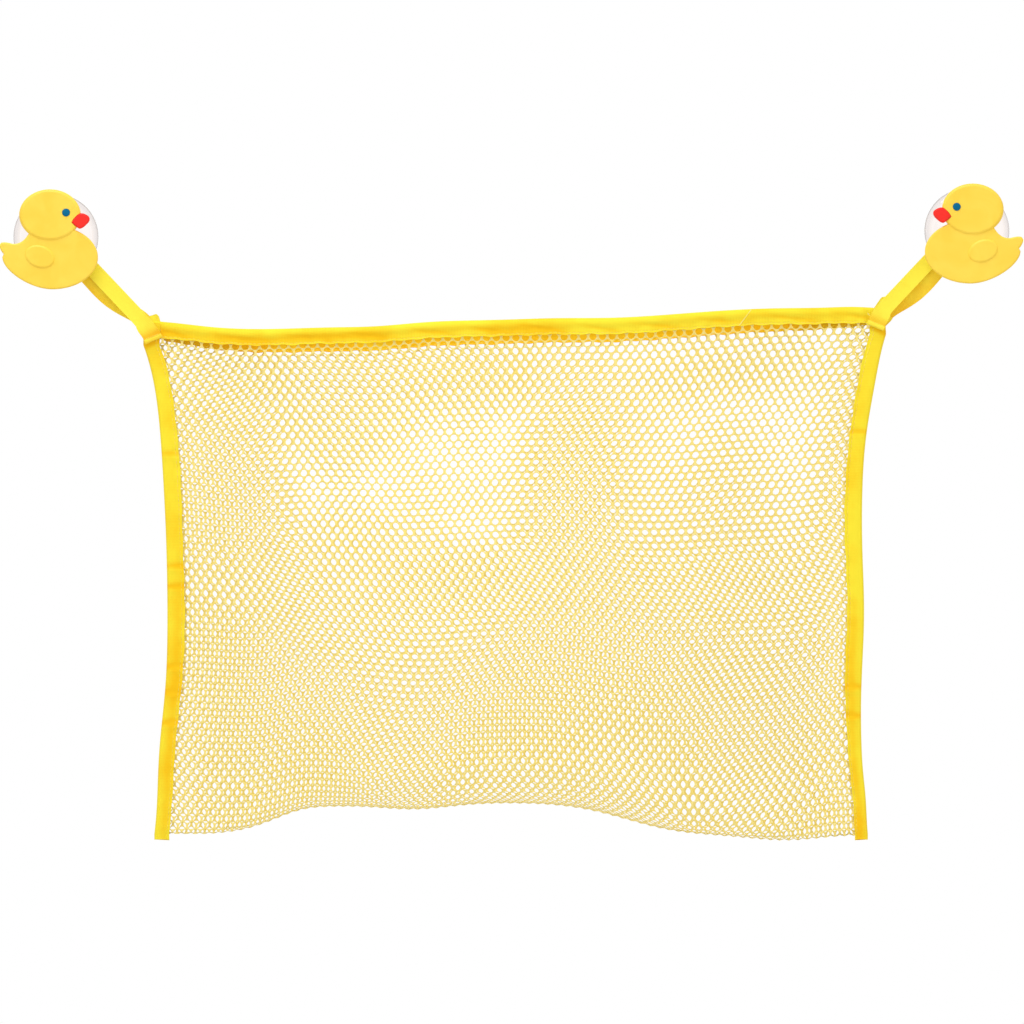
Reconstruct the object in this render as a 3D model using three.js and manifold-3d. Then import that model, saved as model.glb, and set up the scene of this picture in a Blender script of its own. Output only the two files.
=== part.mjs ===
// Bath toy organizer: a net bag that hangs by two ribbon loops from two suction hooks.
// Millimetres, +Z up, +Y into the wall. The origin lies on the wall, midway between the two cups.

import * as THREE from "three";
import { mergeVertices } from "three/addons/utils/BufferGeometryUtils.js";
import Module from "manifold-3d";

const wasm = await Module();
wasm.setup();

// Fits
const CLEARANCE = 0.3;
const WELD = 1e-4;

// Suction cup
const CUP_DIAMETER = 50;
const CUP_DEPTH = 8.5;
const CUP_WALL = 1.8;
const CUP_RIM_WIDTH = 5;
const CUP_RIM_EDGE = 1;
const CUP_SHOULDER_DIAMETER = 13;
const NECK_DIAMETER = 8;
const STUD_HEAD_DIAMETER = 12;
const STUD_HEAD_THICKNESS = 3;
const STUD_HEAD_CHAMFER = 0.9;
const CUP_SEGMENTS = 28;
// The right cup is stuck a little higher on the wall than the left one.
const CUP_RISE = 3.4;

// Duck plate, seen from the front with its beak to the right. Its zero is the axis of the cup.
const PLATE_THICKNESS = 4;
const EDGE_ROUND = 1;
const HEAD_RELIEF = 1;
const WING_RELIEF = 0.8;
const BODY_CENTRE = { x: -1.6, y: -12.5 };
const BODY_BREAST = 26.8;
const BODY_REAR = 29.4;
const BODY_HALF_HEIGHT = 18.7;
const HEAD_CENTRE = { x: -3, y: 12.5 };
const HEAD_HALF = { x: 18.1, y: 15.1 };
const TAIL_TIP = { x: -32.6, y: -4.6 };
const TAIL_NOTCH = 6;
const WING_CENTRE = { x: -9, y: -12 };
const WING_HALF = { x: 9.3, y: 6.8 };
const WING_TURN = -20;
const EYE_CENTRE = { x: 6.5, y: 13.9 };
const EYE_DIAMETER = 4.6;
const EYE_DEPTH = 1.4;
const EYE_DOME = 0.7;
const BEAK_ROOT = { x: 9.7, y: 8.2 };
const BEAK_LENGTH = 10.8;
const BEAK_HALF_WIDTH = 4.7;
const BEAK_TURN = 8;
const BEAK_BACK = 1.2;
const BEAK_RELIEF = 0.7;
const SOCKET_WALL = 2.7;
const SOCKET_LIP = 1.6;
const SOCKET_HEIGHT = 3.4;

// Ribbon loops
const RIBBON_WIDTH = 9;
const RIBBON_THICKNESS = 0.8;
// The ribbon gathers to this width where it passes over the neck.
const RIBBON_GATHER = 8;
const LOOP_RUN = 51.6;
const LOOP_DROP = 47.8;
// The left loop is sewn this much longer than the mean, and the right one this much shorter.
const LOOP_UNEVEN = 1.6;
const LOOP_SLACK = 4.5;
const LOOP_TWIST_LENGTH = 24;
const LOOP_SEWN_LENGTH = 13;
// The sewn end hangs steeper than the loop above it.
const LOOP_SEWN_TURN = 25;
// How far the middle of the loop lies in from the outer edge of the bag.
const LOOP_INSET = 1.5;
const LOOP_STEPS = 13;
const NECK_STEPS = 8;

// Bag
const TAPE_WIDTH = 10;
const TAPE_THICKNESS = 0.6;
const TAPE_TAIL = 3;
// How far the edge of the net stays from the fold of the tape that binds it.
const NET_TUCK = 2;
const NET_THICKNESS = 0.8;
const NET_COLUMNS = 12;
const NET_ROWS = 24;
const STRAND_WIDTH = 3;
// The share of a row that the upright sides of a mesh take.
const MESH_UPRIGHT = 0.38;
// The size of the opening in the half meshes along the bound sides, as a share of the half mesh.
const HALF_MESH = 0.6;
const BAG_TOP_WIDTH = 436;
const BAG_WAIST_WIDTH = 406.5;
const BAG_BOTTOM_WIDTH = 419;
const BAG_HEIGHT = 305.5;
// The bag hangs this far to the right of the middle, and less towards its foot.
const BAG_SHIFT = 1.6;
const BAG_SHIFT_POWER = 4;
// How fast the sides draw in below the top corners, as a share of the height.
const TOP_FLARE_REACH = 0.13;
const BOTTOM_FLARE_POWER = 6;
const HEM_SAG = 2;
const HEM_WAVE = 3.75;
// The back hem hangs this much lower than the front one.
const BACK_HEM_DROP = 4.5;
const MOUTH_BOW = 22;
const BELLY_DEPTH = 46;
const BACK_DEPTH = 7;
const MOUTH_BACK_BOW = 0.2;
const BOTTOM_ROUND = 26;
// The load draws the fold up, most at this share of the width and over this spread.
const BELLY_LIFT = 19;
const LOAD_PLACE = 0.41;
const LOAD_SPREAD = 0.25;
const BINDING_STEPS = 26;
const HEM_STEPS = 28;

// Places that follow from the sizes above
const PLATE_BACK = CUP_DEPTH + RIBBON_GATHER + 2 * CLEARANCE + SOCKET_HEIGHT;
const HANG_Y = -(CUP_DEPTH + CLEARANCE + RIBBON_GATHER / 2);
const FLEX_X = BAG_TOP_WIDTH / 2 - LOOP_INSET;
const CUP_X = FLEX_X + LOOP_RUN;
const HEM_HALF_THICKNESS = NET_THICKNESS / 2 + CLEARANCE + TAPE_THICKNESS;
// Half the distance between the two layers of net inside a side binding, low down and at the top.
const SEAM_LOW = NET_THICKNESS / 2 + CLEARANCE / 2;
const SEAM_TOP = HEM_HALF_THICKNESS + CLEARANCE / 2;
const SEAM_REACH = 0.06;
const CORNER_HALF_THICKNESS = SEAM_TOP + HEM_HALF_THICKNESS;
const FLAP_Y = CORNER_HALF_THICKNESS + 1.5 * CLEARANCE + RIBBON_THICKNESS / 2;
const LEFT = -1;
const RIGHT = 1;

function cupCentre(side) {
  return new THREE.Vector3(side * CUP_X, 0, (side * CUP_RISE) / 2);
}

// The middle of the line on which the ribbon bends, at a top corner of the bag.
function flexPoint(side) {
  const z = cupCentre(side).z - (LOOP_DROP - side * LOOP_UNEVEN);
  return new THREE.Vector3(BAG_SHIFT + side * FLEX_X, HANG_Y, z);
}

// Solids
function welded(geometry) {
  const bare = geometry.index ? geometry.toNonIndexed() : geometry.clone();
  bare.deleteAttribute("normal");
  bare.deleteAttribute("uv");
  const joined = mergeVertices(bare, WELD);
  const kept = [];
  const index = joined.index.array;
  for (let i = 0; i < index.length; i += 3) {
    const [a, b, c] = [index[i], index[i + 1], index[i + 2]];
    if (a !== b && b !== c && c !== a) {
      kept.push(a, b, c);
    }
  }
  joined.setIndex(kept);
  return joined;
}

function volumeOf(geometry) {
  const p = geometry.attributes.position;
  const index = geometry.index.array;
  const [a, b, c] = [new THREE.Vector3(), new THREE.Vector3(), new THREE.Vector3()];
  let sum = 0;
  for (let i = 0; i < index.length; i += 3) {
    a.fromBufferAttribute(p, index[i]);
    b.fromBufferAttribute(p, index[i + 1]);
    c.fromBufferAttribute(p, index[i + 2]);
    sum += a.dot(b.cross(c)) / 6;
  }
  return sum;
}

function facingOut(geometry) {
  const joined = welded(geometry);
  if (volumeOf(joined) < 0) {
    const turned = Array.from(joined.index.array);
    for (let i = 0; i < turned.length; i += 3) {
      [turned[i + 1], turned[i + 2]] = [turned[i + 2], turned[i + 1]];
    }
    joined.setIndex(turned);
  }
  joined.computeVertexNormals();
  return joined;
}

function body(geometry) {
  const joined = facingOut(geometry);
  return new wasm.Manifold(new wasm.Mesh({
    numProp: 3,
    vertProperties: new Float32Array(joined.attributes.position.array),
    triVerts: new Uint32Array(joined.index.array),
  }));
}

function geometryOf(manifold) {
  const mesh = manifold.getMesh();
  const geometry = new THREE.BufferGeometry();
  const stride = mesh.numProp;
  const points = [];
  for (let i = 0; i < mesh.vertProperties.length; i += stride) {
    points.push(mesh.vertProperties[i], mesh.vertProperties[i + 1], mesh.vertProperties[i + 2]);
  }
  geometry.setAttribute("position", new THREE.Float32BufferAttribute(points, 3));
  geometry.setIndex(Array.from(mesh.triVerts));
  geometry.computeVertexNormals();
  return geometry;
}

function surface(points, triangles) {
  const geometry = new THREE.BufferGeometry();
  const flat = points.flatMap((p) => [p.x, p.y, p.z]);
  geometry.setAttribute("position", new THREE.Float32BufferAttribute(flat, 3));
  geometry.setIndex(triangles);
  return facingOut(geometry);
}

// A closed skin over rings of points, with an end at the first ring and at the last one.
function skin(rings, outline) {
  const count = outline.length;
  const points = rings.flat();
  const triangles = [];
  for (let k = 0; k + 1 < rings.length; k += 1) {
    for (let i = 0; i < count; i += 1) {
      const next = (i + 1) % count;
      const [a, b] = [k * count + i, k * count + next];
      const [c, d] = [a + count, b + count];
      triangles.push(a, b, c, b, d, c);
    }
  }
  const last = (rings.length - 1) * count;
  const turn = THREE.ShapeUtils.isClockWise(outline) ? 1 : 0;
  for (const [a, b, c] of THREE.ShapeUtils.triangulateShape(outline, [])) {
    const [p, q] = turn ? [c, b] : [b, c];
    triangles.push(a, q, p);
    triangles.push(last + a, last + p, last + q);
  }
  return surface(points, triangles);
}

// A slab over an outline, from one height to another, with its edges rounded or its outline grown.
function slab(shape, low, high, { round = 0, grow = 0, steps = 2, curve = 10 } = {}) {
  const bevel = round || (high - low) * 0.1;
  const geometry = new THREE.ExtrudeGeometry(shape, {
    depth: high - low - 2 * bevel,
    bevelEnabled: true,
    bevelThickness: bevel,
    bevelSize: round,
    bevelOffset: grow - round,
    bevelSegments: round ? steps : 1,
    curveSegments: curve,
  });
  geometry.translate(0, 0, low + bevel);
  return geometry;
}

function round(radius, low, high, segments) {
  const geometry = new THREE.CylinderGeometry(radius, radius, high - low, segments);
  geometry.rotateX(Math.PI / 2);
  geometry.translate(0, 0, (low + high) / 2);
  return geometry;
}

// Suction cup: a turned piece whose axis is the Y axis, with its flat rim on the wall.
function suctionCup() {
  const rim = CUP_DIAMETER / 2;
  const neck = NECK_DIAMETER / 2;
  const shoulder = CUP_SHOULDER_DIAMETER / 2;
  const head = STUD_HEAD_DIAMETER / 2;
  const under = PLATE_BACK - SOCKET_HEIGHT + SOCKET_LIP + CLEARANCE;
  const front = under + STUD_HEAD_THICKNESS;
  const outer = new THREE.QuadraticBezierCurve(
    new THREE.Vector2(shoulder, -CUP_DEPTH),
    new THREE.Vector2(rim * 0.66, -CUP_DEPTH * 0.72),
    new THREE.Vector2(rim, -CUP_RIM_EDGE),
  );
  const inner = new THREE.QuadraticBezierCurve(
    new THREE.Vector2(rim - CUP_RIM_WIDTH, 0),
    new THREE.Vector2((rim - CUP_RIM_WIDTH) * 0.6, -(CUP_DEPTH - CUP_WALL) * 0.62),
    new THREE.Vector2(0, -(CUP_DEPTH - CUP_WALL) * 0.62),
  );
  const profile = [
    new THREE.Vector2(0, -front),
    new THREE.Vector2(head - STUD_HEAD_CHAMFER, -front),
    new THREE.Vector2(head, -front + STUD_HEAD_CHAMFER),
    new THREE.Vector2(head, -under),
    new THREE.Vector2(neck, -under),
    new THREE.Vector2(neck, -CUP_DEPTH),
    ...outer.getPoints(6),
    new THREE.Vector2(rim, 0),
    ...inner.getPoints(5),
  ];
  return facingOut(new THREE.LatheGeometry(profile, CUP_SEGMENTS));
}

// Duck plate: its back lies on z = 0 and its face looks along +z.
function bodyOutline() {
  const { x, y } = BODY_CENTRE;
  const shape = new THREE.Shape();
  const top = 0.4 * Math.PI;
  const notch = Math.PI * 0.995;
  const rearX = x + BODY_REAR * Math.cos(notch);
  const rearY = y + BODY_HALF_HEIGHT * Math.sin(notch);
  shape.moveTo(rearX, rearY);
  // Below the tail the body is cut flatter than an ellipse.
  const low = y - BODY_HALF_HEIGHT;
  shape.bezierCurveTo(rearX, rearY - BODY_HALF_HEIGHT * 0.42, x - BODY_REAR * 0.45, low, x, low);
  shape.absellipse(x, y, BODY_BREAST, BODY_HALF_HEIGHT, 1.5 * Math.PI, 2 * Math.PI + top, false, 0);
  shape.lineTo(HEAD_CENTRE.x, HEAD_CENTRE.y);
  shape.lineTo(HEAD_CENTRE.x - HEAD_HALF.x * 0.6, HEAD_CENTRE.y - HEAD_HALF.y * 0.5);
  shape.quadraticCurveTo(x - BODY_REAR * 0.56, TAIL_TIP.y - 0.6, TAIL_TIP.x + 7.6, TAIL_TIP.y + 0.2);
  shape.quadraticCurveTo(TAIL_TIP.x + 3.2, TAIL_TIP.y + 1.5, TAIL_TIP.x + 1.2, TAIL_TIP.y + 0.9);
  shape.quadraticCurveTo(TAIL_TIP.x - 0.7, TAIL_TIP.y - 0.4, TAIL_TIP.x + 0.3, TAIL_TIP.y - 2.6);
  shape.quadraticCurveTo(TAIL_TIP.x + 1, TAIL_TIP.y - TAIL_NOTCH * 0.75, rearX + 0.8, rearY + 1.7);
  shape.closePath();
  return shape;
}

function ellipseOutline(centre, half, turn) {
  const shape = new THREE.Shape();
  shape.absellipse(centre.x, centre.y, half.x, half.y, 0, 2 * Math.PI, false, THREE.MathUtils.degToRad(turn));
  return shape;
}

// The beak is a rounded lozenge that is wider than it is long.
function beakOutline() {
  const turn = THREE.MathUtils.degToRad(BEAK_TURN);
  const place = (along, across) => [
    BEAK_ROOT.x + along * BEAK_LENGTH * Math.cos(turn) - across * BEAK_HALF_WIDTH * Math.sin(turn),
    BEAK_ROOT.y + along * BEAK_LENGTH * Math.sin(turn) + across * BEAK_HALF_WIDTH * Math.cos(turn),
  ];
  const shape = new THREE.Shape();
  shape.moveTo(...place(0, 0));
  shape.quadraticCurveTo(...place(0.2, 0.62), ...place(0.46, 0.9));
  shape.quadraticCurveTo(...place(0.62, 1.04), ...place(0.78, 0.8));
  shape.quadraticCurveTo(...place(1.04, 0.45), ...place(1, 0.1));
  shape.quadraticCurveTo(...place(1, -0.2), ...place(0.8, -0.52));
  shape.quadraticCurveTo(...place(0.55, -0.98), ...place(0.38, -0.94));
  shape.quadraticCurveTo(...place(0.2, -0.7), ...place(0, 0));
  return shape;
}

function duckPlate() {
  const face = PLATE_THICKNESS;
  const headFace = face + HEAD_RELIEF;
  const socket = STUD_HEAD_DIAMETER / 2 + CLEARANCE;
  const mouth = NECK_DIAMETER / 2 + CLEARANCE;
  const floor = -SOCKET_HEIGHT + SOCKET_LIP + STUD_HEAD_THICKNESS + 2 * CLEARANCE;
  let plate = body(slab(bodyOutline(), 0, face, { round: EDGE_ROUND }));
  const head = ellipseOutline(HEAD_CENTRE, HEAD_HALF, 0);
  plate = plate.add(body(slab(head, 0, headFace, { round: EDGE_ROUND, curve: 18 })));
  const wing = ellipseOutline(WING_CENTRE, WING_HALF, WING_TURN);
  plate = plate.add(body(slab(wing, face / 2, face + WING_RELIEF, { round: WING_RELIEF, curve: 14 })));
  plate = plate.add(body(round(socket + SOCKET_WALL, -SOCKET_HEIGHT, face / 2, CUP_SEGMENTS)));
  plate = plate.subtract(body(round(socket, -SOCKET_HEIGHT + SOCKET_LIP, floor, CUP_SEGMENTS)));
  plate = plate.subtract(body(round(mouth, -SOCKET_HEIGHT - 1, 0, CUP_SEGMENTS)));
  const pocket = slab(beakOutline(), BEAK_BACK - CLEARANCE, headFace + 4, { grow: CLEARANCE, curve: 4 });
  plate = plate.subtract(body(pocket));
  const eye = round(EYE_DIAMETER / 2 + CLEARANCE, headFace - EYE_DEPTH - CLEARANCE, headFace + 2, 16);
  eye.translate(EYE_CENTRE.x, EYE_CENTRE.y, 0);
  plate = plate.subtract(body(eye));
  return geometryOf(plate);
}

function duckBeak() {
  const high = PLATE_THICKNESS + HEAD_RELIEF + BEAK_RELIEF;
  return facingOut(slab(beakOutline(), BEAK_BACK, high, { round: BEAK_RELIEF, curve: 4 }));
}

function duckEye() {
  const radius = EYE_DIAMETER / 2;
  const profile = [
    new THREE.Vector2(0, -EYE_DEPTH),
    new THREE.Vector2(radius, -EYE_DEPTH),
    new THREE.Vector2(radius, 0),
    new THREE.Vector2(radius * 0.72, EYE_DOME * 0.7),
    new THREE.Vector2(0, EYE_DOME),
  ];
  const geometry = new THREE.LatheGeometry(profile, 16);
  geometry.rotateX(Math.PI / 2);
  geometry.translate(EYE_CENTRE.x, EYE_CENTRE.y, PLATE_THICKNESS + HEAD_RELIEF);
  return facingOut(geometry);
}

// Ribbon loop: from the corner it runs up to the neck, over it, and back to the corner behind.
function strandFrame(side) {
  const neck = cupCentre(side);
  const flex = flexPoint(side);
  const reach = Math.hypot(flex.x - neck.x, flex.z - neck.z);
  const along = new THREE.Vector3((flex.x - neck.x) / reach, 0, (flex.z - neck.z) / reach);
  const across = new THREE.Vector3(side * along.z, 0, -side * along.x);
  return { neck: neck.setY(HANG_Y), flex, reach, along, across };
}

function ribbonRing(centre, across, normal, width) {
  const w = across.clone().multiplyScalar(width / 2);
  const n = normal.clone().multiplyScalar(RIBBON_THICKNESS / 2);
  return [
    centre.clone().sub(w).sub(n),
    centre.clone().add(w).sub(n),
    centre.clone().add(w).add(n),
    centre.clone().sub(w).add(n),
  ];
}

const RIBBON_OUTLINE = [
  new THREE.Vector2(-1, -1),
  new THREE.Vector2(1, -1),
  new THREE.Vector2(1, 1),
  new THREE.Vector2(-1, 1),
];

// One strand, from the corner up to the neck. Way is +1 for the front strand and -1 for the rear one.
function strand(side, way) {
  const { neck, flex, reach, along, across } = strandFrame(side);
  const wrap = NECK_DIAMETER / 2 + CLEARANCE + RIBBON_THICKNESS / 2;
  const lean = Math.asin(wrap / reach);
  const start = neck.clone();
  start.addScaledVector(across, way * wrap * Math.cos(lean));
  start.addScaledVector(along, wrap * Math.sin(lean));
  const end = flex.clone().setY(HANG_Y - way * FLAP_Y).setZ(flex.z + CLEARANCE);
  const toWall = new THREE.Vector3(0, 1, 0);
  const length = start.distanceTo(end);
  const slack = way > 0 ? 0 : LOOP_SLACK;
  const rings = [];
  for (let i = 0; i <= LOOP_STEPS; i += 1) {
    const t = 1 - i / LOOP_STEPS;
    const bow = -slack * Math.sin(Math.PI * t) ** 2;
    const centre = start.clone().lerp(end, t).addScaledVector(across, bow);
    // The strand stays behind the duck until it has twisted flat.
    centre.y = THREE.MathUtils.lerp(start.y, end.y, t * t);
    const slope = -slack * Math.PI * Math.sin(2 * Math.PI * t);
    const run = end.clone().sub(start).addScaledVector(across, slope).normalize();
    const twist = (Math.PI / 2) * THREE.MathUtils.smoothstep(t * length, 0, LOOP_TWIST_LENGTH);
    const normal = across.clone().multiplyScalar(way * Math.cos(twist));
    normal.addScaledVector(toWall, -way * Math.sin(twist));
    normal.addScaledVector(run, -normal.dot(run)).normalize();
    const wide = run.clone().cross(normal).multiplyScalar(-way).normalize();
    if (i === 0) {
      // The end at the corner is cut level, along the line on which the ribbon bends.
      wide.addScaledVector(run, -wide.z / run.z);
      normal.addScaledVector(run, -normal.z / run.z);
    }
    const width = THREE.MathUtils.lerp(RIBBON_GATHER, RIBBON_WIDTH, twist / (Math.PI / 2));
    const ring = ribbonRing(centre, wide, normal.multiplyScalar(way), width);
    // No corner of the ribbon hangs below the level cut.
    for (const corner of ring) {
      corner.addScaledVector(run, Math.max(end.z - corner.z, 0) / run.z);
    }
    rings.push(ring);
  }
  return rings;
}

function hangingLoop(side) {
  const { neck, reach, along, across } = strandFrame(side);
  const wrap = NECK_DIAMETER / 2 + CLEARANCE + RIBBON_THICKNESS / 2;
  const lean = Math.asin(wrap / reach);
  const toWall = new THREE.Vector3(0, 1, 0);
  const front = strand(side, 1);
  const rear = strand(side, -1).reverse();
  const first = front[front.length - 1];
  const forward = Math.sign(first[1].clone().sub(first[0]).y);
  const over = [];
  for (let i = 1; i < NECK_STEPS; i += 1) {
    const angle = Math.PI / 2 - lean + (i / NECK_STEPS) * (Math.PI + 2 * lean);
    const radial = along.clone().multiplyScalar(Math.cos(angle)).addScaledVector(across, Math.sin(angle));
    const centre = neck.clone().addScaledVector(radial, wrap);
    over.push(ribbonRing(centre, toWall.clone().multiplyScalar(forward), radial, RIBBON_GATHER));
  }
  // The rear strand keeps the same face outward as the front one.
  const turned = rear.map(([a, b, c, d]) => [d, c, b, a]);
  const joined = turned[0][1].clone().sub(turned[0][0]).y * forward > 0;
  const back = joined ? turned : turned.map(([a, b, c, d]) => [b, a, d, c]);
  return skin([...front, ...over, ...back], RIBBON_OUTLINE);
}

// Sewn end of a loop: a flap before and a flap behind the corner, pressed together over its top.
function loopEnd(side) {
  const { neck, flex } = strandFrame(side);
  const turn = side * THREE.MathUtils.degToRad(LOOP_SEWN_TURN);
  const run = new THREE.Vector3(flex.x - neck.x, 0, flex.z - neck.z).normalize();
  run.applyAxisAngle(new THREE.Vector3(0, 1, 0), -turn);
  const wide = new THREE.Vector3(-run.z, 0, run.x).multiplyScalar(RIBBON_WIDTH / 2);
  const level = wide.clone().addScaledVector(run, -wide.z / run.z);
  const top = flex.clone().setZ(flex.z - CLEARANCE);
  const foot = top.clone().addScaledVector(run, LOOP_SEWN_LENGTH);
  const outline = [
    top.clone().sub(level),
    top.clone().add(level),
    foot.clone().add(wide),
    foot.clone().sub(wide),
  ];
  const plate = (points, from, to) => {
    const flat = points.map((p) => new THREE.Vector2(p.x, p.z));
    return body(skin([
      points.map((p) => p.clone().setY(HANG_Y + from)),
      points.map((p) => p.clone().setY(HANG_Y + to)),
    ], flat));
  };
  const [near, far] = [FLAP_Y - RIBBON_THICKNESS / 2, FLAP_Y + RIBBON_THICKNESS / 2];
  const bridge = [[-1, 0], [1, 0], [1, -1], [-1, -1]].map(([x, z]) => new THREE.Vector3(
    top.x + (x * TAPE_WIDTH) / 2, 0, top.z + z * RIBBON_THICKNESS,
  ));
  const whole = plate(outline, -far, -near).add(plate(outline, near, far)).add(plate(bridge, -far, far));
  return geometryOf(whole);
}

// Shape of the bag. A share of 0 is the top and 1 is the fold at the bottom.
const FOLD_Z = (flexPoint(LEFT).z + flexPoint(RIGHT).z) / 2 - BAG_HEIGHT;
// Inside the hems the sheet hangs straight and keeps its width.
const HEM_SHARE = (TAPE_WIDTH + 2) / BAG_HEIGHT;

function halfWidth(share) {
  const low = Math.max(share - HEM_SHARE, 0) / (1 - HEM_SHARE);
  const top = ((BAG_TOP_WIDTH - BAG_WAIST_WIDTH) / 2) * Math.exp(-low / TOP_FLARE_REACH);
  const bottom = ((BAG_BOTTOM_WIDTH - BAG_WAIST_WIDTH) / 2) * low ** BOTTOM_FLARE_POWER;
  return BAG_WAIST_WIDTH / 2 + top + bottom;
}

function middle(share) {
  return BAG_SHIFT * (1 - THREE.MathUtils.clamp(share, 0, 1) ** BAG_SHIFT_POWER);
}

function seamGap(share) {
  const low = Math.max(share - HEM_SHARE, 0);
  return SEAM_LOW + (SEAM_TOP - SEAM_LOW) * Math.exp(-low / SEAM_REACH);
}

// The top line of the bag, just under the sewn ends of the loops.
function topLine(across) {
  const line = THREE.MathUtils.lerp(flexPoint(LEFT).z, flexPoint(RIGHT).z, across);
  return line - RIBBON_THICKNESS - 2 * CLEARANCE;
}

function hemTop(across) {
  return topLine(across) - HEM_SAG * Math.sin(Math.PI * across) - HEM_WAVE * Math.sin(2 * Math.PI * across);
}

function backHemTop(across) {
  return hemTop(across) - BACK_HEM_DROP * (1 - (2 * across - 1) ** 6);
}

function foldHeight(across) {
  return FOLD_Z + BELLY_LIFT * Math.exp(-(((across - LOAD_PLACE) / LOAD_SPREAD) ** 4));
}

// How much of the full depth the bag has at a distance in from its outer edge.
function fullness(inset, half) {
  const start = 1.6 * TAPE_WIDTH;
  const t = THREE.MathUtils.clamp((inset - start) / (half - start), 0, 1);
  return 1 - (1 - t ** 1.8) ** 4;
}

// The sheet stands straight inside the hem, then swells to the full depth.
function swell(share, top, full) {
  return THREE.MathUtils.lerp(top, full, THREE.MathUtils.smoothstep(share, HEM_SHARE, 0.8));
}

function bagPoint(across, share, closing, front) {
  const half = halfWidth(share);
  const edge = half - TAPE_THICKNESS - NET_TUCK;
  const x = THREE.MathUtils.lerp(-edge, edge, across);
  const full = fullness(half - Math.abs(x), half);
  const shift = middle(share);
  const before = full * swell(share, MOUTH_BOW, BELLY_DEPTH);
  const behind = full * swell(share, MOUTH_BACK_BOW, BACK_DEPTH);
  const centre = HANG_Y - (before - behind) / 2;
  const spread = (seamGap(share) + (before + behind) / 2) * closing;
  const hem = (x / BAG_TOP_WIDTH) + 0.5;
  const top = (front ? hemTop(hem) : backHemTop(hem)) - TAPE_THICKNESS - NET_TUCK;
  const z = THREE.MathUtils.lerp(top, foldHeight(across), share);
  return new THREE.Vector3(x + shift, front ? centre - spread : centre + spread, z);
}

// One line of the sheet from the front hem down, round the fold and up to the back hem.
const lines = new Map();
function sheetLine(across) {
  const key = across.toFixed(6);
  if (!lines.has(key)) {
    const half = halfWidth(0.9);
    const full = fullness(half * (1 - Math.abs(2 * across - 1)), half);
    const start = 1 - (SEAM_LOW + BOTTOM_ROUND * full) / BAG_HEIGHT;
    const side = [];
    for (let i = 0; i < 40; i += 1) {
      side.push([(start * i) / 40, 1]);
    }
    for (let i = 0; i <= 12; i += 1) {
      const angle = (i / 12) * (Math.PI / 2);
      side.push([start + (1 - start) * Math.sin(angle), Math.cos(angle)]);
    }
    const down = side.map(([share, closing]) => bagPoint(across, share, closing, true));
    const up = side.slice(0, -1).reverse().map(([share, closing]) => bagPoint(across, share, closing, false));
    const points = [...down, ...up];
    const lengths = [0];
    for (let i = 1; i < points.length; i += 1) {
      lengths.push(lengths[i - 1] + points[i].distanceTo(points[i - 1]));
    }
    lines.set(key, { points, lengths, fold: lengths[down.length - 1] });
  }
  return lines.get(key);
}

// Along runs from 0 at the front hem to 1 at the fold and 2 at the back hem.
function sheetPoint(across, along) {
  const { points, lengths, fold } = sheetLine(across);
  const rest = lengths[lengths.length - 1] - fold;
  const target = along < 1 ? Math.max(along, 0) * fold : fold + Math.min(along - 1, 1) * rest;
  let i = 1;
  while (i < lengths.length - 1 && lengths[i] < target) {
    i += 1;
  }
  const t = (target - lengths[i - 1]) / (lengths[i] - lengths[i - 1]);
  return points[i - 1].clone().lerp(points[i], t);
}

function sheetNormal(across, along) {
  const step = 1e-3;
  const [a, b] = [Math.max(across - step, 0), Math.min(across + step, 1)];
  const [c, d] = [Math.max(along - step, 0), Math.min(along + step, 2)];
  const wide = sheetPoint(b, along).sub(sheetPoint(a, along));
  const long = sheetPoint(across, d).sub(sheetPoint(across, c));
  return wide.cross(long).normalize();
}

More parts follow.
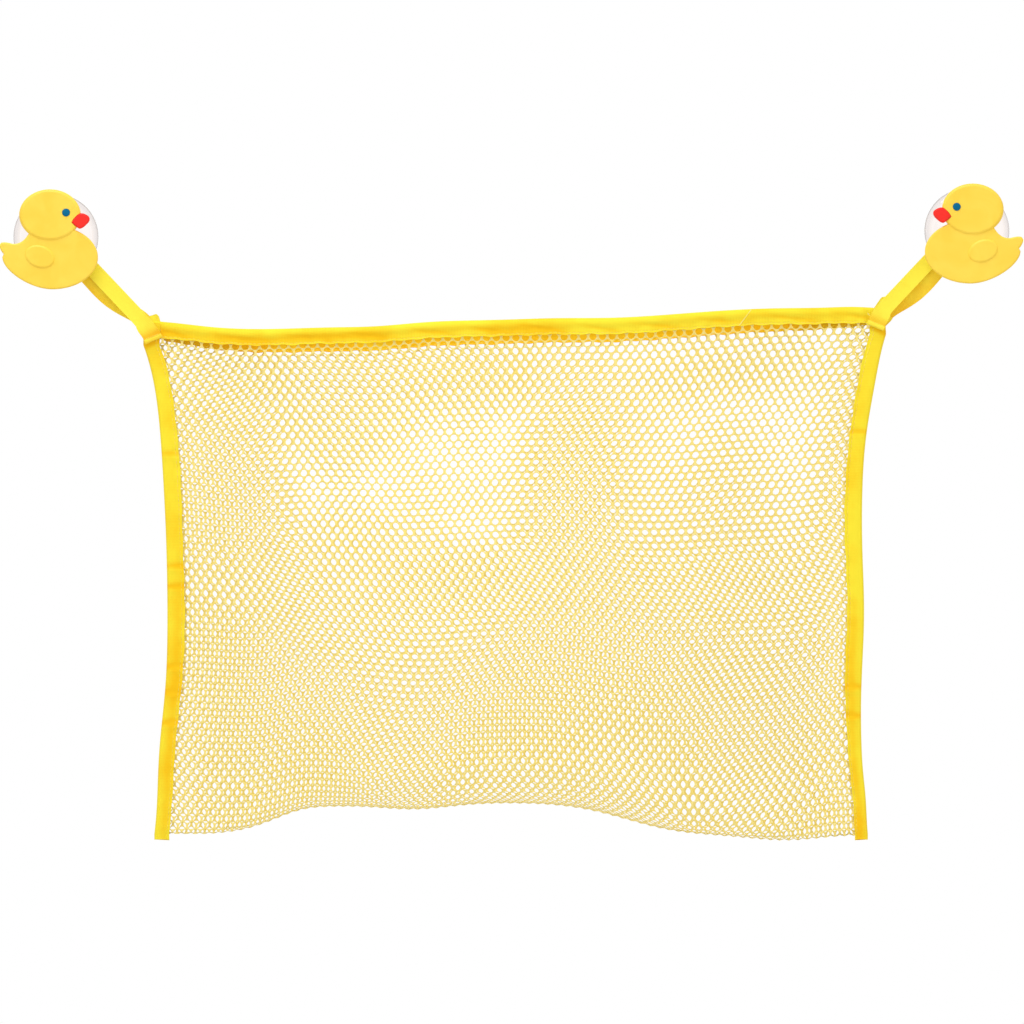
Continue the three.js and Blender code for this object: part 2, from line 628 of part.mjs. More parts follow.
// Net: rows of six-sided meshes over the sheet. A strand is thickest along its middle.
// The sheet is one piece, folded at the bottom; it is drawn as two panels that meet at the fold.
function net(front) {
  const upright = MESH_UPRIGHT;
  const length = NET_ROWS + 1 - upright;
  const rowPitch = (BAG_HEIGHT * 2) / NET_ROWS;
  const columnPitch = BAG_WAIST_WIDTH / NET_COLUMNS;
  // The sheet folds along the lowest corners of a row of meshes.
  const fold = NET_ROWS / 2 + 1 - upright;
  const apart = CLEARANCE / 2 / rowPitch;
  const [low, high] = front ? [0, fold - apart] : [fold + apart, length];
  const corners = [
    [0, upright / 2 - 1],
    [0.5, -upright / 2],
    [0.5, upright / 2],
    [0, 1 - upright / 2],
    [-0.5, upright / 2],
    [-0.5, -upright / 2],
  ];
  const points = [];
  const known = new Map();
  const triangles = [];
  const walls = new Map();
  const place = (x, y, lift) => {
    const key = `${x.toFixed(4)} ${y.toFixed(4)} ${lift}`;
    if (!known.has(key)) {
      const across = x / NET_COLUMNS;
      const along = y < fold ? y / fold : 1 + (y - fold) / (length - fold);
      const normal = sheetNormal(across, along);
      known.set(key, points.length);
      points.push(sheetPoint(across, along).addScaledVector(normal, (lift * NET_THICKNESS) / 2));
    }
    return known.get(key);
  };
  const [keepX, keepY] = [1 - STRAND_WIDTH / columnPitch, 1 - STRAND_WIDTH / rowPitch];
  for (let row = -1; row <= NET_ROWS; row += 1) {
    const odd = Math.abs(row % 2) === 1;
    const count = odd ? NET_COLUMNS + 1 : NET_COLUMNS;
    for (let k = 0; k < count; k += 1) {
      const [cx, cy] = [odd ? k : k + 0.5, row + 1 - upright / 2];
      const atSide = odd && (k === 0 || k === NET_COLUMNS);
      const atFold = cy + 1 - upright / 2 > fold + 1e-6 && cy - 1 + upright / 2 < fold - 1e-6;
      const halved = atSide || atFold;
      const open = row >= 0 && row < NET_ROWS && !(atSide && atFold);
      const ring = [];
      for (const [dx, dy] of corners) {
        const x = THREE.MathUtils.clamp(cx + dx, 0, NET_COLUMNS);
        const y = THREE.MathUtils.clamp(cy + dy, low, high);
        const same = ring.some(([a, b]) => Math.abs(a - x) + Math.abs(b - y) < 1e-6);
        if (!same) {
          ring.push([x, y]);
        }
      }
      const sides = ring.length;
      const tall = Math.max(...ring.map(([, y]) => y)) - Math.min(...ring.map(([, y]) => y));
      if (tall < 0.05) {
        continue;
      }
      const mean = ring.reduce(([a, b], [x, y]) => [a + x / sides, b + y / sides], [0, 0]);
      for (let i = 0; i < sides; i += 1) {
        const [p, q] = [ring[i], ring[(i + 1) % sides]];
        const onEdge = [[0, 0], [0, NET_COLUMNS], [1, low], [1, high]].some(
          ([axis, edge]) => Math.abs(p[axis] - edge) < 1e-6 && Math.abs(q[axis] - edge) < 1e-6,
        );
        for (const lift of [1, -1]) {
          const [a, b] = [place(...p, lift), place(...q, lift)];
          const face = [];
          if (open) {
            const hole = ring.map(([x, y]) => (halved
              ? place(mean[0] + (x - mean[0]) * HALF_MESH, mean[1] + (y - mean[1]) * HALF_MESH, 0)
              : place(cx + (x - cx) * keepX, cy + (y - cy) * keepY, 0)));
            const [c, d] = [hole[i], hole[(i + 1) % sides]];
            face.push([a, b, d], [a, d, c]);
          } else {
            face.push([a, b, place(...mean, lift)]);
          }
          for (const [f, g, h] of face) {
            triangles.push(...(lift > 0 ? [f, g, h] : [f, h, g]));
          }
        }
        if (onEdge) {
          walls.set(`${p} ${q}`, [place(...p, 1), place(...q, 1), place(...p, -1), place(...q, -1)]);
        }
      }
    }
  }
  for (const [a, b, c, d] of walls.values()) {
    triangles.push(b, a, c, b, c, d);
  }
  return surface(points, triangles);
}

// A folded tape in section: across from its fold to its open edge, and to either side of the net.
function foldedTape(half) {
  const fold = TAPE_THICKNESS;
  return [
    new THREE.Vector2(0, -half + fold),
    new THREE.Vector2(fold, -half),
    new THREE.Vector2(TAPE_WIDTH, -half),
    new THREE.Vector2(TAPE_WIDTH, -half + fold),
    new THREE.Vector2(fold, -half + fold),
    new THREE.Vector2(fold, half - fold),
    new THREE.Vector2(TAPE_WIDTH, half - fold),
    new THREE.Vector2(TAPE_WIDTH, half),
    new THREE.Vector2(fold, half),
    new THREE.Vector2(0, half - fold),
  ];
}

// Side binding: the tape folded over the two net edges, from under the loop to past the fold.
function sideBinding(side) {
  const top = topLine(side < 0 ? 0 : 1);
  const foot = FOLD_Z - TAPE_TAIL;
  const start = hemTop(side < 0 ? 0 : 1) - TAPE_THICKNESS - NET_TUCK;
  const rings = [];
  for (let i = 0; i <= BINDING_STEPS; i += 1) {
    const z = THREE.MathUtils.lerp(top, foot, (i / BINDING_STEPS) ** 1.4);
    const share = (start - z) / (start - FOLD_Z);
    const half = seamGap(share) + HEM_HALF_THICKNESS;
    const edge = middle(share) + side * halfWidth(Math.min(share, 1));
    rings.push(foldedTape(half).map((p) => new THREE.Vector3(edge - side * p.x, HANG_Y + p.y, z)));
  }
  return skin(rings, foldedTape(SEAM_LOW + HEM_HALF_THICKNESS));
}

// Hem: the tape folded over one mouth edge, from one side binding to the other.
function hem(front) {
  const half = BAG_TOP_WIDTH / 2;
  const reach = half - TAPE_WIDTH - CLEARANCE;
  const way = front ? -1 : 1;
  const bow = front ? MOUTH_BOW : MOUTH_BACK_BOW;
  const depth = (x) => HANG_Y + way * (SEAM_TOP + bow * fullness(half - Math.abs(x), half));
  const rings = [];
  for (let i = 0; i <= HEM_STEPS; i += 1) {
    const x = THREE.MathUtils.lerp(-reach, reach, i / HEM_STEPS);
    const across = (x + half) / (2 * half);
    const top = front ? hemTop(across) : backHemTop(across);
    const slope = (depth(Math.min(x + 0.5, reach)) - depth(Math.max(x - 0.5, -reach))) / 1;
    const stretch = Math.hypot(1, slope);
    rings.push(foldedTape(HEM_HALF_THICKNESS).map(
      (p) => new THREE.Vector3(BAG_SHIFT + x, depth(x) + p.y * stretch, top - p.x),
    ));
  }
  return skin(rings, foldedTape(HEM_HALF_THICKNESS));
}

// Looks
const clearPlastic = new THREE.MeshStandardMaterial({
  color: 0xeef0ee, roughness: 0.12, metalness: 0, transparent: true, opacity: 0.35,
});
const yellowPlastic = new THREE.MeshStandardMaterial({ color: 0xffdd52, roughness: 0.45, metalness: 0 });
const redPlastic = new THREE.MeshStandardMaterial({ color: 0xf23b2e, roughness: 0.4, metalness: 0 });
const bluePlastic = new THREE.MeshStandardMaterial({ color: 0x0d6fa6, roughness: 0.35, metalness: 0 });
const tapeCloth = new THREE.MeshStandardMaterial({ color: 0xffe232, roughness: 0.9, metalness: 0 });
const ribbonCloth = new THREE.MeshStandardMaterial({ color: 0xffea42, roughness: 0.85, metalness: 0 });
const netCloth = new THREE.MeshStandardMaterial({ color: 0xf6ea96, roughness: 0.9, metalness: 0 });

function piece(name, geometry, material) {
  const mesh = new THREE.Mesh(geometry, material);
  mesh.name = name;
  return mesh;
}

const organizer = new THREE.Group();
organizer.name = "bath_toy_organizer";

const cup = suctionCup();
const plate = duckPlate();
const beak = duckBeak();
const eye = duckEye();

for (const [side, name] of [[LEFT, "left"], [RIGHT, "right"]]) {
  const hook = new THREE.Group();
  hook.name = `${name}_hook`;
  hook.position.copy(cupCentre(side));
  hook.add(piece(`${name}_suction_cup`, cup, clearPlastic));

  // The duck faces the bag, so the right one is the mirror image of the left one.
  const stand = new THREE.Group();
  stand.position.y = -PLATE_BACK;
  stand.rotation.x = Math.PI / 2;
  const duck = new THREE.Group();
  duck.name = `${name}_duck`;
  duck.scale.x = -side;
  duck.add(piece(`${name}_duck_plate`, plate, yellowPlastic));
  duck.add(piece(`${name}_duck_beak`, beak, redPlastic));
  duck.add(piece(`${name}_duck_eye`, eye, bluePlastic));
  stand.add(duck);
  hook.add(stand);
  organizer.add(hook);

  organizer.add(piece(`${name}_loop`, hangingLoop(side), ribbonCloth));
}

const bag = new THREE.Group();
bag.name = "bag";
bag.add(piece("net_front", net(true), netCloth));
bag.add(piece("net_back", net(false), netCloth));
bag.add(piece("front_hem", hem(true), tapeCloth));
bag.add(piece("back_hem", hem(false), tapeCloth));
for (const [side, name] of [[LEFT, "left"], [RIGHT, "right"]]) {
  bag.add(piece(`${name}_binding`, sideBinding(side), tapeCloth));
  bag.add(piece(`${name}_loop_end`, loopEnd(side), ribbonCloth));
}
organizer.add(bag);

export default organizer;
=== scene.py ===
"""Bath toy organizer: a net bag that hangs by two ribbon loops from two suction hooks.

Lengths inside the functions are millimetres, and a finished mesh is scaled to metres.
+X is to the right as seen from the room, +Y points into the wall and +Z is up.
"""

import math

import bmesh
import bpy
import numpy as np
from bpy.props import FloatProperty, FloatVectorProperty, IntProperty, PointerProperty
from mathutils import Matrix, Vector


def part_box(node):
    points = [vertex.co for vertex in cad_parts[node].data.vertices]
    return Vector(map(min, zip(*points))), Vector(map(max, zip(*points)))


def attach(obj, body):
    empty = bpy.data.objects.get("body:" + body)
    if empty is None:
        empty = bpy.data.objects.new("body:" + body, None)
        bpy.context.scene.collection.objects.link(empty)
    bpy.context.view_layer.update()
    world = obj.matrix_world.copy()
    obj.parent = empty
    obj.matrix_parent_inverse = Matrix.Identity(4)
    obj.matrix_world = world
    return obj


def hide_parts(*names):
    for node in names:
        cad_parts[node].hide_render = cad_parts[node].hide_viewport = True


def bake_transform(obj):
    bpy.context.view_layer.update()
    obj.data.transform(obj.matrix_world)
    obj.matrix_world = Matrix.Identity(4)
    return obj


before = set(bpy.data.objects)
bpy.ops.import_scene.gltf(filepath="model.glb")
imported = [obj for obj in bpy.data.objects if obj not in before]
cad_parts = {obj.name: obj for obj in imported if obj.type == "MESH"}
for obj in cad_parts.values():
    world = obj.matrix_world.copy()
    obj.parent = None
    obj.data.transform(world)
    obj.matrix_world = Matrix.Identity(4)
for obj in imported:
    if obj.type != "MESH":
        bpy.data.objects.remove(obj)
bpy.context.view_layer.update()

bl_info = {
    "name": "Bath Toy Organizer",
    "version": (1, 0, 0),
    "blender": (4, 5, 0),
    "location": "3D View > Sidebar > Organizer",
    "description": "Builds a net bag for bath toys with its loops, suction cups and flat ducks",
    "category": "Object",
}

MM = 0.001
SIDES = (("left", -1), ("right", 1))
HEMS = (("front", True), ("back", False))
TO_WALL = np.array((0.0, 1.0, 0.0))
ORIGIN = (0, 0, 0)
# Points of a solid that are nearer than this are one
SOLID_MERGE = 0.001

# Hooks
CUP_DEPTH = 8.5
CUP_WALL = 1.8
CUP_HOLLOW_SHARE = 0.62
CUP_RIM_WIDTH = 5.0
CUP_SHOULDER = 13.0
CUP_SEGMENTS = 96
NECK = 8.0
NECK_EDGE = 0.3
STUD_HEAD = 12.0
STUD_HEAD_THICKNESS = 3.0
STUD_HEAD_ROUND = 1.6
STUD_HEAD_EDGE = 0.4
SOCKET_HEIGHT = 3.4
SOCKET_LIP = 1.6
SOCKET_WALL = 2.7
SOCKET_EDGE = 0.5
SOCKET_SEGMENTS = 64
CLEARANCE = 0.3

# Duck, seen from the front with its beak to the right and its zero on the axis of the cup
BODY_CENTRE = (-1.6, -12.5)
BODY_BREAST = 26.8
BODY_REAR = 29.4
BODY_HALF_HEIGHT = 18.7
HEAD_CENTRE = (-3.0, 12.5)
HEAD_HALF = (18.1, 15.1)
TAIL_TIP = (-32.6, -4.6)
TAIL_NOTCH = 6.0
WING_CENTRE = (-9.0, -12.0)
WING_HALF = (9.3, 6.8)
WING_TURN = -20.0
WING_ROOT = 1.2
WING_EDGE = 1.7
EYE_CENTRE = (6.5, 13.9)
EYE_DIAMETER = 4.6
EYE_DEPTH = 1.4
EYE_DOME = 0.7
EYE_SEGMENTS = 48
EYE_GAP = 0.08
BEAK_ROOT = (9.7, 8.2)
BEAK_LENGTH = 10.8
BEAK_HALF_WIDTH = 4.7
BEAK_TURN = 8.0
BEAK_BACK = 1.2
BEAK_RELIEF = 0.7
BEAK_EDGE = 1.1
# Points and controls round the beak, as shares of its length and of half its width
BEAK_STOPS = ((0, 0), (0.2, 0.62), (0.46, 0.9), (0.62, 1.04), (0.78, 0.8), (1.04, 0.45), (1, 0.1),
              (1, -0.2), (0.8, -0.52), (0.55, -0.98), (0.38, -0.94), (0.2, -0.7), (0, 0))
PLATE_BACK_EDGE = 0.8
FACE_GAP = 0.1

# Loops
RIBBON_WIDTH = 9.0
RIBBON_GATHER = 8.0
RIBBON_CUPPING = 0.25
RIBBON_RIBS = 12
LOOP_DROP = 47.8
LOOP_UNEVEN = 1.6
# How far the strands hang below a straight line: 1 is the front strand and -1 the rear one
LOOP_SAG = {"left": {1: 2.0, -1: 0.5}, "right": {1: 0.6, -1: 3.0}}
LOOP_SAG_REACH = {1: 0.35, -1: 0.9}
LOOP_SLACK = {"left": 3.4, "right": 2.6}
LOOP_TWIST_LENGTH = 24.0
LOOP_SEWN_LENGTH = {"left": 11.9, "right": 10.6}
LOOP_SEWN_WIDTH = {"left": 10.7, "right": 10.4}
LOOP_SEWN_TURN = 25.0
LOOP_INSET = 1.5
LOOP_HALF_THICKNESS = 0.4
LIP_LENGTH = 1.6
LIP_RADIUS = 0.65
LIP_UNDER = 2.0
STRAND_STEPS = 120
NECK_STEPS = 18
FLAP_STEPS = 27
FLAP_SEAM_STATION = 21
# The bend at the corner is eased over this reach, but for the last stations of the sewn end
CORNER_REACH = 7.0
CORNER_ROUNDS = 80
CORNER_FREE = 20
# Tip, direction and width of the raw ends that stand up behind the corners
TAILS = {"left": ((-210.9, -47.8), (-0.3, 0.954), 6.2), "right": ((222.0, -38.6), (0.565, 0.826), 8.6)}
TAIL_LENGTH = 11.0
TAIL_STATIONS = 11
TAIL_RIBS = 10
TAIL_WORN = 1.6
# How much painted shade deepens the ribbon's colour: on the rear strand shaded by the front one, near the
# neck shaded by the duck, and in the crease above the sewn lip
REAR_PAINTED_SHADE = {"left": 0.5, "right": 0.62}
NECK_PAINTED_SHADE = 0.6
SEWN_PAINTED_SHADE = 0.55

# Bag
TAPE_WIDTH = 10.0
TAPE_THICKNESS = 0.6
TAPE_TAIL = 3.0
TAPE_RIBS = 40
SEAM_FROM_FOLD = 8.9
NET_TUCK = 2.0
NET_THICKNESS = 0.8
BAG_TOP_WIDTH = 436.0
BAG_WAIST_WIDTH = 406.5
BAG_BOTTOM_WIDTH = 419.0
BAG_HEIGHT = 305.5
BAG_SHIFT = 1.6
BAG_SHIFT_POWER = 4
TOP_FLARE_REACH = 0.13
BOTTOM_FLARE_POWER = 6
MOUTH_BOW = 22.0
MOUTH_BACK_BOW = 0.2
BELLY_DEPTH = 46.0
BELLY_PLACE = 0.8
BACK_DEPTH = 7.0
BOTTOM_ROUND = 26.0
BELLY_LIFT = 19.0
LOAD_PLACE = 0.41
LOAD_SPREAD = 0.25
# Place, spread and height of the waves in the mouth edges and the fold, across the bag
HEM_WAVES = ((0.03, 0.06, 1.6), (0.315, 0.06, -1.4), (0.555, 0.07, 1.1), (0.97, 0.05, 1.9))
FOLD_WAVES = ((0.2, 0.05, 3.2), (0.36, 0.07, -3.6), (0.65, 0.1, 2.9), (0.89, 0.07, -3.1))
# The same for the places where the sides hang out, down the bag
SIDE_WAVES = {-1: ((0.25, 0.17, 1.3), (0.84, 0.12, 2.8)),
              1: ((0.13, 0.1, 2.2), (0.58, 0.13, 2.3), (0.93, 0.05, 0.8))}

# Hems
HEM_STEPS = 416
HEM_SAG = 2.0
HEM_WAVE = 2.6
HEM_RIPPLE = 1.75
HEM_TUCK = 6.0
HEM_PRESSED = 0.65
BACK_HEM_DROP = 4.5
# Place, spread and height of the rolls along the fold and the edge and of the dip at the seam
HEM_RELIEF = ((2.8, 2.2, 0.6), (9.6, 1.5, 0.2), (8.4, 0.4, -0.3))
# Height, length and start of the waves in how far the tape is drawn in, where, and along its edge
HEM_DRAWN = ((0.3, 23.0, 0.8), (0.15, 9.1, 0.0))
HEM_VALLEY = ((0.8, 34.0, 0.4), (0.4, 13.0, 0.0))
HEM_SCALLOPS = ((0.28, 10.6 / (2 * math.pi), 0.0), (0.22, 3.7, 2.0))
# Height, length, drift and spread of the small puckers along the seam
HEM_PUCKER = (0.22, 1.9, 1.5, 17.0)
# How much painted shade the inner faces of the hems carry
HEM_INNER_PAINTED_SHADE = 0.95
JOIN_PLACE = 139.8
JOIN_SLANT = 0.79
JOIN_WIDTH = 0.6
JOIN_THICKNESS = 0.2
JOIN_STEPS = 24

# Bindings
BINDING_STEPS = 310
BINDING_OVERLAP = 0.8
BINDING_ROLLS = ((3.0, 2.2, 0.3), (9.6, 1.2, 0.3))
BINDING_SEAM = (8.3, 0.45, -0.4)
BINDING_PUCKER = (0.16, 1.8, 1.3, 21.0)
# By what share of their width the bindings are drawn together at the foot
BINDING_NARROWING = {"left": 0.14, "right": 0.29}
# Heights of the small pleats across the bindings
BINDING_PLEATS = {"left": (-132.0, -198.0, -210.0, -257.0, -272.0, -290.0),
                  "right": (-119.0, -269.0, -286.0)}

# Net
NET_COLUMNS = 241
NET_ROWS = 481
NET_SIDE_STEPS = 60
NET_FOLD_STEPS = 17
NET_STRIPS = (("net_front_panel", ["net_front"]), ("net_bottom_fold", ["net_front", "net_back"]),
              ("net_back_panel", ["net_back"]))
MESH_INSET = 0.3
MESH_MERGE = 0.01
YARN_MERGE = 0.0005
SCALLOP_HEIGHT = 0.45
SCALLOP_REACH = 5.0
LEAST_COVER = 0.3

# Stitching: half the length of a stitch, and how far off its direction is read, are shares of its pitch
STITCH_HALF = 0.43
STITCH_REACH = 0.4
STITCH_LIFT = 0.02
SEAM_POINTS = 700
SEAM_INSET = 0.012
FLAP_STITCH = 1.4
FLAP_SEAM_HALF = 0.42
FLAP_SEAM_LIFT = 0.42
FLAP_SEAM_POINTS = 12

# Stage: place and width of each lamp, what the lamps aim at, and the camera
KEY_LAMP = ((-500, -1900, 850), 2000)
TOP_LAMP = ((-300, -700, 1500), 1200)
SIDE_LAMP = ((1500, -1300, 300), 1500)
SIDE_SHARE = 0.4
LAMP_AIM = (0, 0, -150)
FLOOR_HALF = 1500
FLOOR_PLACE = (0, -200, -900)
FLOOR_CELLS = 8
CAMERA_X = 0.35
CAMERA_Z = -163.7
VIEW_PLANE_Y = -15.0
SENSOR_WIDTH = 36.0

# Places that follow from the sizes above
PLATE_BACK = CUP_DEPTH + RIBBON_GATHER + 2 * CLEARANCE + SOCKET_HEIGHT
HANG_Y = -(CUP_DEPTH + CLEARANCE + RIBBON_GATHER / 2)
FLEX_X = BAG_TOP_WIDTH / 2 - LOOP_INSET
HEM_HALF_THICKNESS = NET_THICKNESS / 2 + CLEARANCE + TAPE_THICKNESS
SEAM_LOW = NET_THICKNESS / 2 + CLEARANCE / 2
SEAM_TOP = HEM_HALF_THICKNESS + CLEARANCE / 2
SEAM_REACH = 0.06
FLAP_Y = SEAM_TOP + HEM_HALF_THICKNESS + 1.5 * CLEARANCE + LOOP_HALF_THICKNESS
HEM_SHARE = (TAPE_WIDTH + 2) / BAG_HEIGHT


def linear(hex_colour):
    """An sRGB hex colour as linear red, green and blue."""
    channels = [int(hex_colour[i:i + 2], 16) / 255 for i in (1, 3, 5)]
    return tuple(c / 12.92 if c <= 0.04045 else ((c + 0.055) / 1.055) ** 2.4 for c in channels)


def length_property(name, description, default):
    """A length in metres for the panel, given in millimetres."""
    return FloatProperty(name=name, description=description, default=default * MM,
                         min=0.0, precision=5, unit="LENGTH")


def colour_property(name, description, default):
    """A colour for the panel, given as an sRGB hex value."""
    return FloatVectorProperty(name=name, description=description, default=linear(default),
                               min=0.0, max=1.0, subtype="COLOR")


class OrganizerNet(bpy.types.PropertyGroup):
    """Sizes and colours of the knitted net."""

    columns: IntProperty(name="Columns", description="Meshes across the net", default=76, min=4)
    rows: IntProperty(name="Rows", description="Rows of meshes round the whole sheet", default=153, min=4)
    hole_width: length_property("Hole width", "Width of the round hole of a mesh", 4.06)
    hole_height: length_property("Hole height", "Height of the round hole of a mesh", 4.2)
    yarn_thickness: length_property("Yarn thickness", "Thickness of the net", 0.5)
    upright: length_property("Upright side", "Length of the double upright side of a mesh", 1.4)
    colour: colour_property("Yarn", "Colour of the yarn", "#FFF298")
    # The yarn shade is painted shade in the grooves between the filaments.
    shade: colour_property("Yarn shade", "Darker colour between the filaments", "#FFEA7A")


class OrganizerTape(bpy.types.PropertyGroup):
    """Sizes and colours of the folded tape and its stitching."""

    thickness: length_property("Thickness", "Thickness of one layer of tape", 0.55)
    rib: length_property("Rib spacing", "Distance between the ribs of the weave", 0.9)
    stitch: length_property("Stitch length", "Length of one stitch with its gap", 2.8)
    thread: length_property("Thread", "Thickness of the sewing thread", 0.42)
    colour: colour_property("Tape", "Colour of the tape", "#FFF236")
    # The tape shade is painted shade: the colour laid in the shaded places of the tape.
    shade: colour_property("Tape shade", "Deeper colour where the tape is drawn in", "#FFCE00")
    cut_colour: colour_property("Cut edge", "Colour of the heat-cut end of the tape", "#FFEFC8")
    thread_colour: colour_property("Thread colour", "Colour of the sewing thread", "#FFE75A")


class OrganizerRibbon(bpy.types.PropertyGroup):
    """Sizes and colours of the hanging loops."""

    width: length_property("Width", "Width of the ribbon", RIBBON_WIDTH)
    thickness: length_property("Thickness", "Thickness of the ribbon", 0.7)
    rib: length_property("Rib spacing", "Distance between the ribs of the weave", 0.8)
    colour: colour_property("Ribbon", "Colour of the ribbon", "#FFF648")
    # The ribbon shade is painted shade: the colour laid in the shaded places of the ribbon.
    shade: colour_property("Ribbon shade", "Deeper colour where the ribbon is drawn in", "#FFBE00")


class OrganizerDuck(bpy.types.PropertyGroup):
    """Sizes and colours of the flat ducks."""

    thickness: length_property("Plate", "Thickness of the plate", 4.0)
    edge: length_property("Edge", "Rounding of the edge of the plate", 2.0)
    head_relief: length_property("Head relief", "How far the head stands proud of the body", 1.0)
    wing_relief: length_property("Wing relief", "How far the wing stands proud of the body", 0.8)
    yellow: colour_property("Yellow", "Colour of the moulding", "#FEE050")
    yellow_shade: colour_property("Yellow shade", "Darker mottling of the moulding", "#FBD944")
    red: colour_property("Beak", "Colour of the beak", "#FA2E26")
    blue: colour_property("Eye", "Colour of the eye", "#006E9C")


class OrganizerCup(bpy.types.PropertyGroup):
    """Sizes and colours of the suction cups."""

    diameter: length_property("Diameter", "Diameter of the rim",
                              (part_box("left_suction_cup")[1].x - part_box("left_suction_cup")[0].x) / MM)
    colour: colour_property("Tint", "Tint of the clear plastic", "#FCF4F0")
    edge_colour: colour_property("Rim tint", "Tint of the clear plastic along its rim", "#CEC7C5")


class OrganizerStage(bpy.types.PropertyGroup):
    """Light, floor and camera."""

    floor: colour_property("Floor", "Colour of the floor", "#F4F4F2")
    sky: FloatProperty(name="Fill light", description="Strength of the light from all round", default=0.7)
    fill: colour_property("Fill colour", "Colour of the light from all round", "#FFF2E6")
    key: FloatProperty(name="Key light", description="Power of the large lamp in front", default=6.5,
                       unit="POWER")
    top: FloatProperty(name="Top light", description="Power of the lamp above", default=15.0, unit="POWER")
    distance: length_property("Distance", "Distance of the camera", 12000.0)
    view: length_property("Width of view", "Width that the camera takes in at the bag", 602.0)


# Curves
def smooth(value, low, high):
    """Rises from 0 to 1 between two values, level at both ends."""
    t = np.clip((value - low) / (high - low), 0, 1)
    return t * t * (3 - 2 * t)


def hump(value, centre, spread):
    """A bell of height 1."""
    return np.exp(-(((value - centre) / spread) ** 2))


def humps(value, terms):
    """A row of bells, each given by its place, spread and height."""
    return sum(height * hump(value, place, spread) for place, spread, height in terms)


def ripple(value, terms):
    """A sum of waves, each given by its height, the length for one radian and its start."""
    return sum(height * np.sin(value / length + start) for height, length, start in terms)


def pucker(value, height, length, drift, spread):
    """Small waves whose spacing drifts."""
    return height * np.sin(value / length + drift * np.sin(value / spread))


def run_lengths(points):
    """How far along a line each of its points lies."""
    return np.concatenate([[0], np.cumsum(np.linalg.norm(np.diff(points, axis=0), axis=1))])


def read_at(place, stops, field):
    """Reads rows of three values at places between their stops."""
    return np.stack([np.interp(place, stops, field[:, k]) for k in range(3)], -1)


def unit(vectors):
    return vectors / np.linalg.norm(vectors, axis=-1, keepdims=True)


# Shape of the bag. A share of 0 is the top and 1 is the fold at the bottom.
def cup_centre(name):
    low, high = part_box(f"{name}_suction_cup")
    return np.array(((low.x + high.x) / 2 / MM, 0.0, (low.z + high.z) / 2 / MM))


def flex_point(name, side):
    """The middle of the line on which a loop bends, at a top corner of the bag."""
    z = cup_centre(name)[2] - (LOOP_DROP - side * LOOP_UNEVEN)
    return np.array((BAG_SHIFT + side * FLEX_X, HANG_Y, z))


FLEX = {name: flex_point(name, side) for name, side in SIDES}
FOLD_Z = (FLEX["left"][2] + FLEX["right"][2]) / 2 - BAG_HEIGHT


def half_width(share):
    low = np.maximum(share - HEM_SHARE, 0) / (1 - HEM_SHARE)
    top = (BAG_TOP_WIDTH - BAG_WAIST_WIDTH) / 2 * np.exp(-low / TOP_FLARE_REACH)
    bottom = (BAG_BOTTOM_WIDTH - BAG_WAIST_WIDTH) / 2 * low ** BOTTOM_FLARE_POWER
    return BAG_WAIST_WIDTH / 2 + top + bottom


def stray(share, side):
    """How far a side of the soft bag hangs outside its plain outline."""
    return humps(share, SIDE_WAVES[side])


def middle(share):
    return BAG_SHIFT * (1 - np.clip(share, 0, 1) ** BAG_SHIFT_POWER)


def seam_gap(share):
    low = np.maximum(share - HEM_SHARE, 0)
    return SEAM_LOW + (SEAM_TOP - SEAM_LOW) * np.exp(-low / SEAM_REACH)


def top_line(across):
    line = FLEX["left"][2] + (FLEX["right"][2] - FLEX["left"][2]) * across
    return line - 2 * LOOP_HALF_THICKNESS - 2 * CLEARANCE


def hem_top(across, front):
    top = top_line(across) - HEM_SAG * np.sin(np.pi * across) - HEM_WAVE * np.sin(2 * np.pi * across)
    top = top - HEM_RIPPLE * np.sin(4 * np.pi * across) + humps(across, HEM_WAVES)
    return top if front else top - BACK_HEM_DROP * (1 - (2 * across - 1) ** 6)


def fold_height(across):
    lift = BELLY_LIFT * np.exp(-(((across - LOAD_PLACE) / LOAD_SPREAD) ** 4))
    return FOLD_Z + lift + humps(across, FOLD_WAVES)


def fullness(inset, half):
    """How far the bag has swollen at a distance from its side: 0 at the seam and 1 in the middle."""
    start = 1.6 * TAPE_WIDTH
    t = np.clip((inset - start) / (half - start), 0, 1)
    return 1 - (1 - t ** 1.8) ** 4


def swell(share, top, full):
    return top + (full - top) * smooth(share, HEM_SHARE, BELLY_PLACE)


def bag_points(across, share, closing, front):
    """Points of the hung net, on its front or its back; closing falls to 0 round the fold."""
    half = half_width(share)
    edge = half - TAPE_THICKNESS - NET_TUCK
    x = edge * (2 * across - 1)
    full = fullness(half - np.abs(x), half)
    before = full * swell(share, MOUTH_BOW, BELLY_DEPTH)
    behind = full * swell(share, MOUTH_BACK_BOW, BACK_DEPTH)
    centre = HANG_Y - (before - behind) / 2
    spread = (seam_gap(share) + (before + behind) / 2) * closing
    top = hem_top(x / BAG_TOP_WIDTH + 0.5, front) - TAPE_THICKNESS - NET_TUCK
    z = top + (fold_height(across) - top) * share
    y = centre - spread if front else centre + spread
    sway = stray(share, 1) * across - stray(share, -1) * (1 - across)
    return np.stack([x + middle(share) + sway, y, z], -1)


